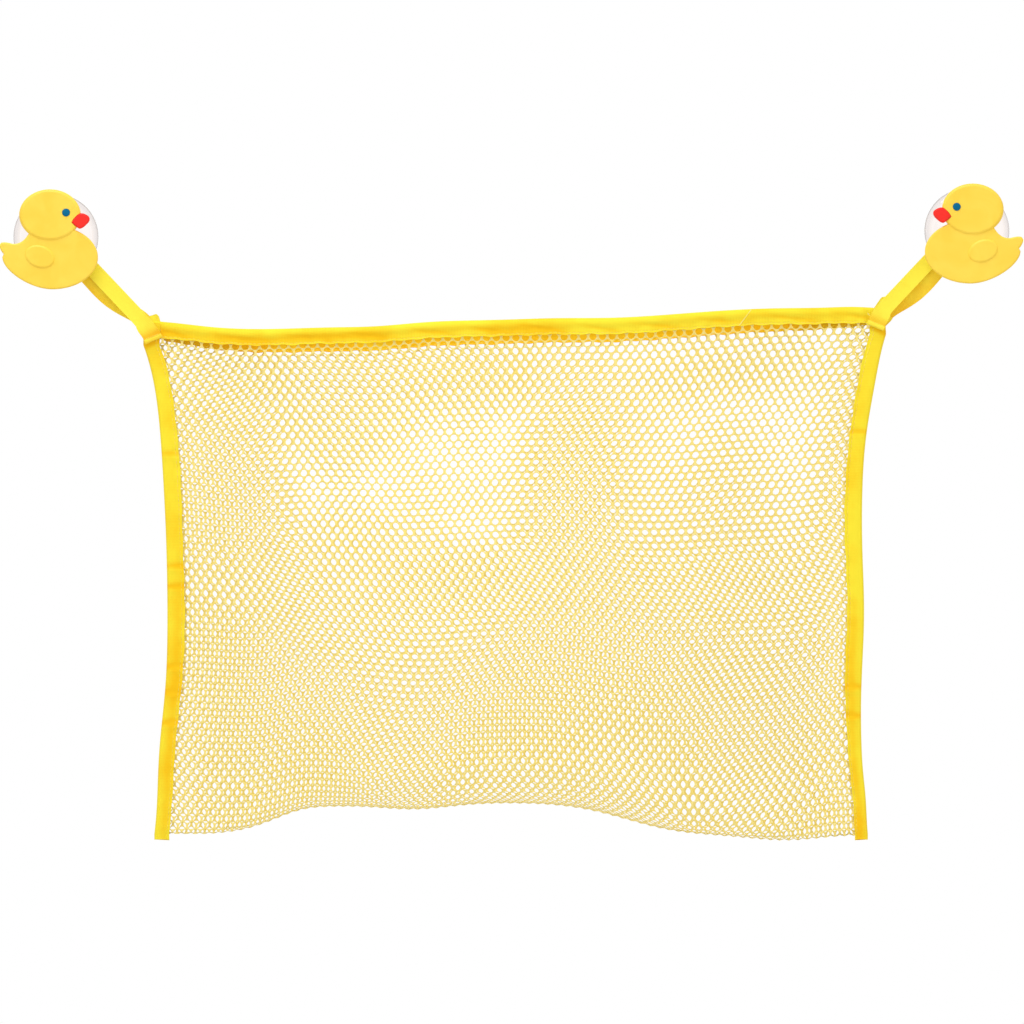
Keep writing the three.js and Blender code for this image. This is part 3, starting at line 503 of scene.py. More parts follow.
def net_surface():
    """Points and normals of the middle of the net, from the front hem round the fold to the back hem."""
    points = np.empty((NET_COLUMNS, NET_ROWS, 3))
    along = np.linspace(0, 2, NET_ROWS)
    half = half_width(0.9)
    angle = np.linspace(0, np.pi / 2, NET_FOLD_STEPS)
    closing = np.concatenate([np.ones(NET_SIDE_STEPS), np.cos(angle)])
    for i, across in enumerate(np.linspace(0, 1, NET_COLUMNS)):
        full = fullness(half * (1 - abs(2 * across - 1)), half)
        start = 1 - (SEAM_LOW + BOTTOM_ROUND * full) / BAG_HEIGHT
        straight = start * np.arange(NET_SIDE_STEPS) / NET_SIDE_STEPS
        share = np.concatenate([straight, start + (1 - start) * np.sin(angle)])
        down = bag_points(across, share, closing, True)
        up = bag_points(across, share[:-1], closing[:-1], False)[::-1]
        line = np.concatenate([down, up])
        lengths = run_lengths(line)
        fold = lengths[len(down) - 1]
        target = np.where(along < 1, along * fold, fold + (along - 1) * (lengths[-1] - fold))
        points[i] = read_at(target, lengths, line)
    wide = np.gradient(points, axis=0)
    long = np.gradient(points, axis=1)
    return points, unit(np.cross(wide, long))


def between(field, across, along):
    """Reads a grid of values at places between its points."""
    columns, rows = field.shape[:2]
    x = np.clip(across, 0, 1) * (columns - 1)
    y = np.clip(along, 0, 2) / 2 * (rows - 1)
    i = np.minimum(x.astype(int), columns - 2)
    j = np.minimum(y.astype(int), rows - 2)
    s, t = (x - i)[:, None], (y - j)[:, None]
    near = field[i, j] * (1 - t) + field[i, j + 1] * t
    far = field[i + 1, j] * (1 - t) + field[i + 1, j + 1] * t
    return near * (1 - s) + far * s


# Making pieces
def coordinates(mesh):
    flat = np.empty(len(mesh.vertices) * 3)
    mesh.vertices.foreach_get("co", flat)
    return flat.reshape(-1, 3)


def new_object(bm, name):
    """Puts a bmesh into the scene as an object."""
    mesh = bpy.data.meshes.new(name)
    bm.to_mesh(mesh)
    bm.free()
    obj = bpy.data.objects.new(name, mesh)
    bpy.context.scene.collection.objects.link(obj)
    return obj


def discard(*objects):
    for obj in objects:
        mesh = obj.data
        bpy.data.objects.remove(obj)
        bpy.data.meshes.remove(mesh)


def piece_from(bm, name, material, sharp=None):
    """Turns a bmesh in millimetres into a finished object in metres."""
    bmesh.ops.scale(bm, vec=(MM, MM, MM), verts=bm.verts)
    obj = new_object(bm, name)
    obj.data.shade_smooth()
    if sharp is not None:
        obj.data.set_sharp_from_angle(angle=math.radians(sharp))
    obj.data.materials.append(material)
    return obj


def belongs(obj, body, slot, *nodes):
    """The piece moves with a body and stands for CAD nodes, which it hides; the slot is not used."""
    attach(obj, body)
    if nodes:
        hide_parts(*nodes)


def cloth_strip(place, steps, ribs, thickness):
    """A strip of cloth: a grid laid along a path and given its thickness.

    Place takes two arrays from 0 to 1, along and across, and returns points, the strip's lengths
    along and across, which go to the UV map in millimetres, and how much painted shade each point carries.
    """
    bm = bmesh.new()
    bmesh.ops.create_grid(bm, x_segments=steps, y_segments=ribs, size=0.5)
    flat = np.array([v.co for v in bm.verts])
    points, texture, painted_shade = place(flat[:, 0] + 0.5, flat[:, 1] + 0.5)
    tone = bm.verts.layers.float.new("painted_shade")
    layer = bm.loops.layers.uv.new("Weave")
    bm.verts.index_update()
    for vert, point, value in zip(bm.verts, points, painted_shade):
        vert.co = point
        vert[tone] = value
    for face in bm.faces:
        for loop in face.loops:
            loop[layer].uv = texture[loop.vert.index]
    bmesh.ops.recalc_face_normals(bm, faces=bm.faces)
    bm.normal_update()
    half = thickness / 2
    for vert in bm.verts:
        vert.co -= vert.normal * half
    bmesh.ops.solidify(bm, geom=bm.faces[:], thickness=-thickness)
    bmesh.ops.recalc_face_normals(bm, faces=bm.faces)
    return bm


# Materials
def add_node(tree, kind, values=None, links=None, **settings):
    """Adds one node with its settings, its socket values and the sockets that feed it."""
    node = tree.nodes.new(kind)
    for name, value in settings.items():
        setattr(node, name, value)
    for socket, value in (values or {}).items():
        node.inputs[socket].default_value = value
    for socket, source in (links or {}).items():
        tree.links.new(source, node.inputs[socket])
    return node


def new_material(name, **values):
    material = bpy.data.materials.new(name)
    material.use_nodes = True
    shader = material.node_tree.nodes["Principled BSDF"]
    for socket, value in values.items():
        shader.inputs[socket.replace("_", " ")].default_value = value
    return material, material.node_tree, shader


def darker(colour, share):
    return tuple(c * share for c in colour)


def two_tones(tree, factor, low, high, start=0.3, end=0.7):
    """A ramp from one colour to another over part of a factor."""
    ramp = add_node(tree, "ShaderNodeValToRGB", links={"Fac": factor})
    for element, place, colour in zip(ramp.color_ramp.elements, (start, end), (low, high)):
        element.position = place
        element.color = (*colour, 1)
    return ramp.outputs["Color"]


def wave_scale(spacing):
    """Wave Texture's scale for bands this far apart, in the units of its coordinates."""
    return 2 * math.pi / (20 * spacing)


def let_light_through(tree, shader, colour, share):
    """Thin cloth and yarn let a little light through."""
    through = add_node(tree, "ShaderNodeBsdfTranslucent", {"Color": (*colour, 1)})
    mix = add_node(tree, "ShaderNodeMixShader", {"Fac": share},
                   {1: shader.outputs["BSDF"], 2: through.outputs["BSDF"]})
    tree.links.new(mix.outputs["Shader"], tree.nodes["Material Output"].inputs["Surface"])


def woven_cloth(name, colour, shade, rib, roughness):
    """Woven polyester: ribs across the strip, finer threads along it, and a soft matt sheen.

    Its colour is deepened by painted shade where the tape or ribbon lies in shade.
    """
    material, tree, shader = new_material(name, Roughness=roughness, Sheen_Weight=0.12,
                                          Sheen_Roughness=0.5, Specular_IOR_Level=0.25)
    weave = add_node(tree, "ShaderNodeUVMap", uv_map="Weave").outputs["UV"]
    ribs = {"Scale": wave_scale(rib / MM), "Distortion": 0.6, "Detail": 1.0, "Detail Scale": 0.4}
    across = add_node(tree, "ShaderNodeTexWave", ribs, {"Vector": weave}, bands_direction="X")
    warp = {"Scale": wave_scale(rib / MM * 0.8), "Distortion": 0.4}
    along = add_node(tree, "ShaderNodeTexWave", warp, {"Vector": weave}, bands_direction="Y")
    threads = add_node(tree, "ShaderNodeMath", links={0: across.outputs["Fac"], 1: along.outputs["Fac"]},
                       operation="MULTIPLY").outputs["Value"]
    place = add_node(tree, "ShaderNodeTexCoord").outputs["Object"]
    # Slow variation of about 25 mm, as from handling and dye.
    cloud = add_node(tree, "ShaderNodeTexNoise", {"Scale": 40.0, "Detail": 3.0}, {"Vector": place})
    # Painted shade: the weave is lighter on its raised threads and darker between them, where the bump dips;
    # the cloud adds random tone.
    tone = add_node(tree, "ShaderNodeMath", {1: 0.25}, {0: threads, 2: cloud.outputs["Fac"]},
                    operation="MULTIPLY_ADD")
    # Painted shade carried by each point deepens the colour towards the shade colour.
    painted_shade = add_node(tree, "ShaderNodeAttribute", attribute_name="painted_shade")
    deep = add_node(tree, "ShaderNodeMath", {1: -0.45},
                    {0: painted_shade.outputs["Fac"], 2: tone.outputs["Value"]}, operation="MULTIPLY_ADD")
    tree.links.new(two_tones(tree, deep.outputs["Value"], shade, colour, 0.1, 0.6),
                   shader.inputs["Base Color"])
    bump = add_node(tree, "ShaderNodeBump", {"Strength": 0.35, "Distance": 0.00012}, {"Height": threads})
    tree.links.new(bump.outputs["Normal"], shader.inputs["Normal"])
    let_light_through(tree, shader, colour, 0.05)
    return material


def net_yarn(colour, shade):
    """Knitted polyester net: filament yarn with fine lengthwise grooves and a dull sheen."""
    material, tree, shader = new_material("knitted_net_yarn", Roughness=0.7, Sheen_Weight=0.2,
                                          Specular_IOR_Level=0.3)
    place = add_node(tree, "ShaderNodeTexCoord").outputs["Object"]
    # Filaments are about 0.1 mm; they are drawn near 0.35 mm so that they show.
    filament = add_node(tree, "ShaderNodeTexNoise", {"Scale": 2800.0, "Detail": 2.0},
                        {"Vector": place}).outputs["Fac"]
    cloud = add_node(tree, "ShaderNodeTexNoise", {"Scale": 160.0, "Detail": 2.0}, {"Vector": place})
    # Painted shade: the yarn is lighter on its raised filaments and darker between them, where the bump
    # dips; the cloud adds random tone.
    tone = add_node(tree, "ShaderNodeMath", {1: 0.5}, {0: filament, 2: cloud.outputs["Fac"]},
                    operation="MULTIPLY_ADD")
    tree.links.new(two_tones(tree, tone.outputs["Value"], shade, colour, 0.45, 0.85),
                   shader.inputs["Base Color"])
    bump = add_node(tree, "ShaderNodeBump", {"Strength": 0.3, "Distance": 0.0001}, {"Height": filament})
    tree.links.new(bump.outputs["Normal"], shader.inputs["Normal"])
    let_light_through(tree, shader, colour, 0.06)
    return material


def sewing_thread(colour):
    """Spun polyester thread: two plies, with their slanting grooves painted as darker bands of shade, and
    little gloss.
    """
    material, tree, shader = new_material("sewing_thread", Roughness=0.6, Sheen_Weight=0.2)
    place = add_node(tree, "ShaderNodeTexCoord").outputs["Object"]
    plies = add_node(tree, "ShaderNodeTexWave", {"Scale": wave_scale(0.0005), "Distortion": 1.0},
                     {"Vector": place}, bands_direction="DIAGONAL")
    # Painted shade: the bands between the plies are darker.
    tree.links.new(two_tones(tree, plies.outputs["Fac"], darker(colour, 0.86), colour, 0.1, 0.6),
                   shader.inputs["Base Color"])
    return material


def soft_pvc(name, colour, shade, roughness, gloss=0.4):
    """Soft PVC, moulded: an even colour with faint flow marks, a satin skin and a fine grain."""
    material, tree, shader = new_material(name, Roughness=roughness, IOR=1.53, Specular_IOR_Level=gloss)
    place = add_node(tree, "ShaderNodeTexCoord").outputs["Object"]
    # Flow marks about 18 mm across.
    flow = add_node(tree, "ShaderNodeTexNoise", {"Scale": 55.0, "Detail": 2.0, "Distortion": 0.8},
                    {"Vector": place}).outputs["Fac"]
    tree.links.new(two_tones(tree, flow, shade, colour, 0.35, 0.65), shader.inputs["Base Color"])
    # A mould grain of 0.1 mm is drawn near 0.5 mm so that it breaks the gloss.
    grain = add_node(tree, "ShaderNodeTexNoise", {"Scale": 2000.0, "Detail": 2.0}, {"Vector": place})
    bump = add_node(tree, "ShaderNodeBump", {"Strength": 0.12, "Distance": 0.0001},
                    {"Height": grain.outputs["Fac"]})
    tree.links.new(bump.outputs["Normal"], shader.inputs["Normal"])
    rough = add_node(tree, "ShaderNodeMapRange", {"To Min": roughness - 0.06, "To Max": roughness + 0.08},
                     {"Value": flow})
    tree.links.new(rough.outputs["Result"], shader.inputs["Roughness"])
    return material


def clear_pvc(tint, edge_tint):
    """Clear soft PVC, moulded and polished: glass-like, slightly warm, with a faintly wavy skin.

    Light that enters the rim runs a long way through the plastic, so the rim is seen as a grey line.
    """
    material, tree, shader = new_material("clear_soft_pvc", Roughness=0.06, IOR=1.53,
                                          Transmission_Weight=1.0)
    edge = add_node(tree, "ShaderNodeAttribute", attribute_name="rim").outputs["Fac"]
    tree.links.new(two_tones(tree, edge, tint, edge_tint, 0.1, 0.9), shader.inputs["Base Color"])
    place = add_node(tree, "ShaderNodeTexCoord").outputs["Object"]
    wave = add_node(tree, "ShaderNodeTexNoise", {"Scale": 180.0, "Detail": 1.0}, {"Vector": place})
    bump = add_node(tree, "ShaderNodeBump", {"Strength": 0.08, "Distance": 0.0004},
                    {"Height": wave.outputs["Fac"]})
    tree.links.new(bump.outputs["Normal"], shader.inputs["Normal"])
    return material


def pale_floor(colour):
    """Matt painted board: a plain pale surface with a faint unevenness."""
    material, tree, shader = new_material("pale_board", Roughness=0.9)
    place = add_node(tree, "ShaderNodeTexCoord").outputs["Object"]
    cloud = add_node(tree, "ShaderNodeTexNoise", {"Scale": 6.0, "Detail": 3.0}, {"Vector": place})
    tree.links.new(two_tones(tree, cloud.outputs["Fac"], darker(colour, 0.97), colour),
                   shader.inputs["Base Color"])
    return material


# Suction cups
def bezier(count, *controls):
    """Points on a quadratic or cubic curve, without its last one."""
    t = np.linspace(0, 1, count, endpoint=False)[:, None]
    rows = [np.array(p, float) for p in controls]
    while len(rows) > 1:
        rows = [a * (1 - t) + b * t for a, b in zip(rows, rows[1:])]
    return [tuple(p) for p in rows[0]]


def spun(profile, segments):
    """A closed turned piece from a profile of radius and depth, round the Y axis."""
    bm = bmesh.new()
    verts = [bm.verts.new((radius, depth, 0)) for radius, depth in profile]
    edges = [bm.edges.new(pair) for pair in zip(verts, verts[1:])]
    bmesh.ops.spin(bm, geom=verts + edges, cent=ORIGIN, axis=TO_WALL, angle=2 * math.pi,
                   steps=segments, use_merge=True, use_duplicate=False)
    bmesh.ops.remove_doubles(bm, verts=bm.verts, dist=SOLID_MERGE)
    bmesh.ops.recalc_face_normals(bm, faces=bm.faces)
    return bm


def cup_profile(rim):
    """Half a section through the cup, from the middle of the stud's head to the middle of the hollow."""
    neck, shoulder, head = NECK / 2, CUP_SHOULDER / 2, STUD_HEAD / 2
    under = -(PLATE_BACK - SOCKET_HEIGHT + SOCKET_LIP + CLEARANCE)
    front = under - STUD_HEAD_THICKNESS
    inner = rim - CUP_RIM_WIDTH
    hollow = -(CUP_DEPTH - CUP_WALL) * CUP_HOLLOW_SHARE
    # Where the bell of the cup ends, and the widest place of the bead along its rim.
    bell_end = (rim - 1.2, -1.5)
    bead = (rim - 0.1, -1.2)
    return [
        (0.0, front), (head * 0.6, front),
        *bezier(5, (head - STUD_HEAD_ROUND, front), (head, front), (head, front + STUD_HEAD_ROUND)),
        (head, under - STUD_HEAD_EDGE), (head - STUD_HEAD_EDGE, under),
        (neck + NECK_EDGE, under), (neck, under + NECK_EDGE),
        *bezier(4, (neck, -CUP_DEPTH - 1.2), (neck, -CUP_DEPTH - 0.2), (shoulder, -CUP_DEPTH)),
        *bezier(14, (shoulder, -CUP_DEPTH), (rim * 0.66, -CUP_DEPTH * 0.72), bell_end),
        *bezier(3, bell_end, (rim - 0.5, -1.7), bead),
        *bezier(4, bead, (rim + 0.1, -0.6), (rim - 0.2, 0.0)),
        (rim - 0.6, 0.0),
        *bezier(12, (inner, 0.0), (inner * 0.6, hollow), (inner * 0.1, hollow)),
        (0.0, hollow),
    ]


class ORGANIZER_OT_suction_cups(bpy.types.Operator):
    """Turn the two clear suction cups with their necks and studs"""

    bl_idname = "organizer.suction_cups"
    bl_label = "Suction Cups"

    def execute(self, context):
        cup = context.scene.organizer_cup
        material = clear_pvc(cup.colour, cup.edge_colour)
        rim = cup.diameter / MM / 2
        for name, _side in SIDES:
            centre = cup_centre(name)
            bm = spun(cup_profile(rim), CUP_SEGMENTS)
            bmesh.ops.translate(bm, vec=Vector(centre), verts=bm.verts)
            obj = piece_from(bm, f"{name}_cup_moulding", material, sharp=50)
            radius = np.linalg.norm((coordinates(obj.data) / MM - centre)[:, [0, 2]], axis=1)
            edge = obj.data.attributes.new("rim", "FLOAT", "POINT")
            edge.data.foreach_set("value", smooth(radius, rim - 1.0, rim - 0.3))
            belongs(obj, "wall_hooks", "clear_pvc", f"{name}_suction_cup")
        return {"FINISHED"}


# Ducks
def ellipse(centre, half, turn=0.0, start=0.0, end=2 * math.pi, count=96):
    """Points on an ellipse, without the last one."""
    angle = np.linspace(start, end, count, endpoint=False)
    c, s = math.cos(math.radians(turn)), math.sin(math.radians(turn))
    x, y = half[0] * np.cos(angle), half[1] * np.sin(angle)
    return list(zip(centre[0] + c * x - s * y, centre[1] + s * x + c * y))


def body_outline():
    """Round the body from the notch under the tail, by the breast and the neck to the tail."""
    x, y = BODY_CENTRE
    tip_x, tip_y = TAIL_TIP
    notch = math.pi * 0.995
    rear = (x + BODY_REAR * math.cos(notch), y + BODY_HALF_HEIGHT * math.sin(notch))
    low = y - BODY_HALF_HEIGHT
    haunch = (rear[0], rear[1] - BODY_HALF_HEIGHT * 0.42)
    neck = (HEAD_CENTRE[0] - HEAD_HALF[0] * 0.6, HEAD_CENTRE[1] - HEAD_HALF[1] * 0.5)
    back = (tip_x + 7.6, tip_y + 0.2)
    shoulder = (tip_x + 1.2, tip_y + 0.9)
    under = (tip_x + 0.3, tip_y - 2.6)
    last = (rear[0] + 0.8, rear[1] + 1.7)
    return [
        *bezier(36, rear, haunch, (x - BODY_REAR * 0.45, low), (x, low)),
        *ellipse(BODY_CENTRE, (BODY_BREAST, BODY_HALF_HEIGHT), 0, 1.5 * math.pi, 2.4 * math.pi, 60),
        HEAD_CENTRE,
        *bezier(12, neck, (x - BODY_REAR * 0.56, tip_y - 0.6), back),
        *bezier(6, back, (tip_x + 3.2, tip_y + 1.5), shoulder),
        *bezier(6, shoulder, (tip_x - 0.7, tip_y - 0.4), under),
        *bezier(5, under, (tip_x + 1.0, tip_y - TAIL_NOTCH * 0.75), last),
        last,
    ]


def beak_outline(grow=0.0):
    """A rounded lozenge that is wider than it is long."""
    turn = math.radians(BEAK_TURN)
    long, wide = BEAK_LENGTH + 2 * grow, BEAK_HALF_WIDTH + grow

    def place(stop):
        u, v = stop[0] * long - grow, stop[1] * wide
        return (BEAK_ROOT[0] + u * math.cos(turn) - v * math.sin(turn),
                BEAK_ROOT[1] + u * math.sin(turn) + v * math.cos(turn))

    points = []
    for arc in zip(BEAK_STOPS[0::2], BEAK_STOPS[1::2], BEAK_STOPS[2::2]):
        points += bezier(8, *(place(stop) for stop in arc))
    return points


def slab(outline, low, high, front_round=0.0, back_round=0.0, segments=4):
    """A plate over an outline, between two heights, with its front and back edges rounded."""
    bm = bmesh.new()
    face = bm.faces.new([bm.verts.new((x, y, low)) for x, y in outline])
    top = bmesh.ops.extrude_face_region(bm, geom=[face])["geom"]
    raised = [g for g in top if isinstance(g, bmesh.types.BMVert)]
    bmesh.ops.translate(bm, vec=(0, 0, high - low), verts=raised)
    bmesh.ops.recalc_face_normals(bm, faces=bm.faces)
    for level, radius in ((high, front_round), (low, back_round)):
        if radius:
            rim = [e for e in bm.edges if all(abs(v.co.z - level) < 1e-4 for v in e.verts)]
            bmesh.ops.bevel(bm, geom=rim, offset=radius, offset_type="OFFSET", segments=segments,
                            profile=0.5, affect="EDGES", material=-1, clamp_overlap=True)
    return bm


def combined(base, others):
    """Joins solids to a first one, or cuts them from it, and returns the result as a bmesh."""
    target = new_object(base, "scratch")
    tools = []
    for bm, operation in others:
        tools.append(new_object(bm, "scratch"))
        cut = target.modifiers.new("cut", "BOOLEAN")
        cut.operation = operation
        cut.solver = "EXACT"
        cut.object = tools[-1]
    result = bmesh.new()
    result.from_object(target, bpy.context.evaluated_depsgraph_get())
    bmesh.ops.remove_doubles(result, verts=result.verts, dist=SOLID_MERGE)
    discard(target, *tools)
    return result


def stand_duck(bm, name, side):
    """Stands a duck piece that lies on its back up against its cup."""
    mirror = Matrix.Diagonal((-side, 1, 1, 1))
    up = Matrix.Rotation(math.pi / 2, 4, "X")
    place = Matrix.Translation(Vector(cup_centre(name)) + Vector((0, -PLATE_BACK, 0)))
    bmesh.ops.transform(bm, matrix=place @ up @ mirror, verts=bm.verts)
    bmesh.ops.recalc_face_normals(bm, faces=bm.faces)
    return bm


def across_plate(profile, segments, place=ORIGIN, turn=math.pi / 2):
    """A turned piece whose axis runs through the plate of a duck."""
    bm = spun(profile, segments)
    bmesh.ops.rotate(bm, cent=ORIGIN, matrix=Matrix.Rotation(turn, 3, "X"), verts=bm.verts)
    bmesh.ops.translate(bm, vec=place, verts=bm.verts)
    return bm


def duck_plate(duck):
    face = duck.thickness / MM
    head_face = face + duck.head_relief / MM
    edge = duck.edge / MM
    wing_face = face + duck.wing_relief / MM
    socket = STUD_HEAD / 2 + CLEARANCE
    mouth = NECK / 2 + CLEARANCE
    end = -SOCKET_HEIGHT
    lip = end + SOCKET_LIP
    floor = lip + STUD_HEAD_THICKNESS + 2 * CLEARANCE
    outer = socket + SOCKET_WALL
    boss = [(mouth, face / 2), (outer, face / 2), (outer, end + SOCKET_EDGE), (outer - SOCKET_EDGE, end),
            (mouth, end), (mouth, face / 2)]
    cavity = [(0, floor), (socket, floor), (socket, lip), (mouth, lip), (mouth, end - 1), (0, end - 1)]
    eye_floor = head_face - EYE_DEPTH - FACE_GAP
    eye = EYE_DIAMETER / 2 + EYE_GAP
    eye_hole = [(0, eye_floor), (eye, eye_floor), (eye, head_face + 2), (0, head_face + 2)]
    head_outline = ellipse(HEAD_CENTRE, HEAD_HALF, count=120)
    wing_outline = ellipse(WING_CENTRE, WING_HALF, WING_TURN, count=80)
    return combined(slab(body_outline(), 0, face, edge, PLATE_BACK_EDGE), [
        (slab(head_outline, 0, head_face, edge, PLATE_BACK_EDGE), "UNION"),
        (slab(wing_outline, face - WING_ROOT, wing_face, WING_EDGE), "UNION"),
        (across_plate(boss, SOCKET_SEGMENTS), "UNION"),
        (across_plate(cavity, SOCKET_SEGMENTS), "DIFFERENCE"),
        (slab(beak_outline(FACE_GAP), BEAK_BACK - FACE_GAP, head_face + 4), "DIFFERENCE"),
        (across_plate(eye_hole, EYE_SEGMENTS, (*EYE_CENTRE, 0)), "DIFFERENCE"),
    ])


def eye_profile():
    """Half a section through an eye, from its back to the top of its dome."""
    radius = EYE_DIAMETER / 2
    side = (radius * 0.7, -EYE_DOME * 0.8)
    top = (0, -EYE_DOME)
    return [
        (0, EYE_DEPTH), (radius, EYE_DEPTH), (radius, 0.1),
        *bezier(5, (radius, 0.0), (radius, -EYE_DOME * 0.6), side),
        *bezier(4, side, (radius * 0.4, -EYE_DOME), top),
        top,
    ]


class ORGANIZER_OT_duck_plates(bpy.types.Operator):
    """Mould the two flat ducks with their raised heads and wings and the sockets behind them"""

    bl_idname = "organizer.duck_plates"
    bl_label = "Duck Plates"

    def execute(self, context):
        duck = context.scene.organizer_duck
        material = soft_pvc("yellow_soft_pvc", duck.yellow, duck.yellow_shade, 0.42)
        for name, side in SIDES:
            plate = stand_duck(duck_plate(duck), name, side)
            obj = piece_from(plate, f"{name}_duck_moulding", material, sharp=35)
            obj.modifiers.new("flat faces", "WEIGHTED_NORMAL").keep_sharp = True
            belongs(obj, f"{name}_duck", "yellow_plastic", f"{name}_duck_plate")
        return {"FINISHED"}


class ORGANIZER_OT_duck_faces(bpy.types.Operator):
    """Mould the beaks and the eyes of the two ducks"""

    bl_idname = "organizer.duck_faces"
    bl_label = "Duck Beaks and Eyes"

    def execute(self, context):
        duck = context.scene.organizer_duck
        head_face = (duck.thickness + duck.head_relief) / MM
        red = soft_pvc("red_soft_pvc", duck.red, darker(duck.red, 0.9), 0.36, 0.22)
        blue = soft_pvc("blue_soft_pvc", duck.blue, darker(duck.blue, 0.88), 0.32, 0.1)
        for name, side in SIDES:
            beak = slab(beak_outline(), BEAK_BACK, head_face + BEAK_RELIEF, BEAK_EDGE, segments=5)
            obj = piece_from(stand_duck(beak, name, side), f"{name}_beak_moulding", red, sharp=40)
            obj.modifiers.new("flat faces", "WEIGHTED_NORMAL").keep_sharp = True
            belongs(obj, f"{name}_duck", "red_plastic", f"{name}_duck_beak")
            eye = across_plate(eye_profile(), EYE_SEGMENTS, (*EYE_CENTRE, head_face), -math.pi / 2)
            obj = piece_from(stand_duck(eye, name, side), f"{name}_eye_moulding", blue, sharp=50)
            belongs(obj, f"{name}_duck", "blue_plastic", f"{name}_duck_eye")
        return {"FINISHED"}


# Net
def knitted_sheet(net, width, length):
    """The flat net with its round holes: meshes are inset, and the middle of each is taken out."""
    pitch, row = width / net.columns, length / net.rows
    upright = net.upright / MM
    bm = bmesh.new()
    for cx, cy in ((0, 0), (pitch / 2, row)):
        ring = bmesh.ops.create_circle(bm, cap_ends=True, segments=6, radius=1)["verts"]
        for vert in ring:
            at_end = abs(vert.co.x) < 0.1
            tall = row - upright / 2 if at_end else upright / 2
            vert.co = (cx + (0 if at_end else math.copysign(pitch / 2, vert.co.x)),
                       cy + math.copysign(tall, vert.co.y), 0)
    cell = new_object(bm, "scratch")
    for offset, count in (((pitch, 0, 0), net.columns + 1), ((0, 2 * row, 0), net.rows // 2 + 2)):
        array = cell.modifiers.new("repeat", "ARRAY")
        array.use_relative_offset = False
        array.use_constant_offset = True
        array.constant_offset_displace = offset
        array.count = count
    bm = bmesh.new()
    bm.from_object(cell, bpy.context.evaluated_depsgraph_get())
    discard(cell)
    bmesh.ops.remove_doubles(bm, verts=bm.verts, dist=MESH_MERGE)
    meshes = bm.faces[:]
    bmesh.ops.inset_individual(bm, faces=meshes, thickness=MESH_INSET, use_even_offset=True)
    hole = Vector((net.hole_width / MM / 2, net.hole_height / MM / 2, 1))
    for face in meshes:
        centre = face.calc_center_median()
        for edge in list(face.edges):
            bmesh.utils.edge_split(edge, edge.verts[0], 0.5)
        for vert in face.verts:
            out = vert.co - centre
            vert.co = centre + out / Vector((out.x / hole.x, out.y / hole.y, 0)).length
    bmesh.ops.delete(bm, geom=meshes, context="FACES_ONLY")
    trim(bm, (1, 0, 0), 0, width)
    return bm


def trim(bm, axis, low, high):
    """Cuts a flat sheet off below and above two places along an axis."""
    normal = Vector(axis)
    for place, outer in ((low, False), (high, True)):
        bmesh.ops.bisect_plane(bm, geom=bm.verts[:] + bm.edges[:] + bm.faces[:], plane_co=normal * place,
                               plane_no=normal, clear_outer=outer, clear_inner=not outer)


def thicken(bm, thickness):
    """Gives the yarn its round section: the middle of each strand is raised on both sides."""
    # Scraps along a cut have no middle and would stay flat.
    scraps = [f for f in bm.faces if all(v.is_boundary for v in f.verts)]
    bmesh.ops.delete(bm, geom=scraps, context="FACES")
    ridge = [v for v in bm.verts if not v.is_boundary]
    bmesh.ops.translate(bm, vec=(0, 0, thickness / 2), verts=ridge)
    back = bmesh.ops.duplicate(bm, geom=bm.verts[:] + bm.edges[:] + bm.faces[:])["geom"]
    verts = [g for g in back if isinstance(g, bmesh.types.BMVert)]
    bmesh.ops.scale(bm, vec=(1, 1, -1), verts=verts)
    bmesh.ops.reverse_faces(bm, faces=[g for g in back if isinstance(g, bmesh.types.BMFace)])
    bmesh.ops.remove_doubles(bm, verts=bm.verts, dist=YARN_MERGE)


def hang(obj, net, width, length, points, normals):
    """Lays a flat strip of net over the hung surface."""
    flat = coordinates(obj.data) / MM
    u, v, lift = flat.T
    # Knitting is never quite even, so rows and columns wander by a fraction of a mesh.
    u = u + 0.5 * np.sin(v / 31 + 0.6) + 0.35 * np.sin(v / 13 + u / 57) * np.sin(u / 41)
    v = v + 0.45 * np.sin(u / 36 + 1.1) + 0.3 * np.sin(u / 15 - v / 63)
    across, along = u / width, 2 * v / length
    hung = between(points, across, along) + between(normals, across, along) * lift[:, None]
    # At the fold each mesh hangs as a small scallop.
    scallops = np.cos(2 * np.pi * flat[:, 0] * net.columns / width)
    hung[:, 2] -= SCALLOP_HEIGHT * scallops * hump(flat[:, 1], length / 2, SCALLOP_REACH)
    obj.data.vertices.foreach_set("co", (hung * MM).ravel())
    obj.data.update()


def net_cover(obj, width, length):
    """The area that the yarn itself covers, in square metres, kept between a least share of the strip's area
    and the whole of it. Within what a sheet may state.
    """
    areas = np.empty(len(obj.data.polygons))
    obj.data.polygons.foreach_get("area", areas)
    whole = width * length * MM * MM
    return float(min(max(areas.sum() / 2, LEAST_COVER * whole), whole))


class ORGANIZER_OT_net(bpy.types.Operator):
    """Knit the net, fold it at the bottom and hang it in the shape of the bag"""

    bl_idname = "organizer.net"
    bl_label = "Net"

    def execute(self, context):
        net = context.scene.organizer_net
        material = net_yarn(net.colour, net.shade)
        points, normals = net_surface()
        width = BAG_WAIST_WIDTH - 2 * (TAPE_THICKNESS + NET_TUCK)
        length = float(run_lengths(points[NET_COLUMNS // 4])[-1])
        whole = knitted_sheet(net, width, length)
        for i, (name, nodes) in enumerate(NET_STRIPS):
            low, high = i / len(NET_STRIPS), (i + 1) / len(NET_STRIPS)
            bm = whole.copy()
            trim(bm, (0, 1, 0), low * length, high * length)
            thicken(bm, net.yarn_thickness / MM)
            obj = piece_from(bm, name, material, sharp=60)
            hang(obj, net, width, length, points, normals)
            belongs(obj, "bag", "net_yarn", *nodes)
            part = length * (high - low)
            net_cover(obj, width, part)
        whole.free()
        return {"FINISHED"}


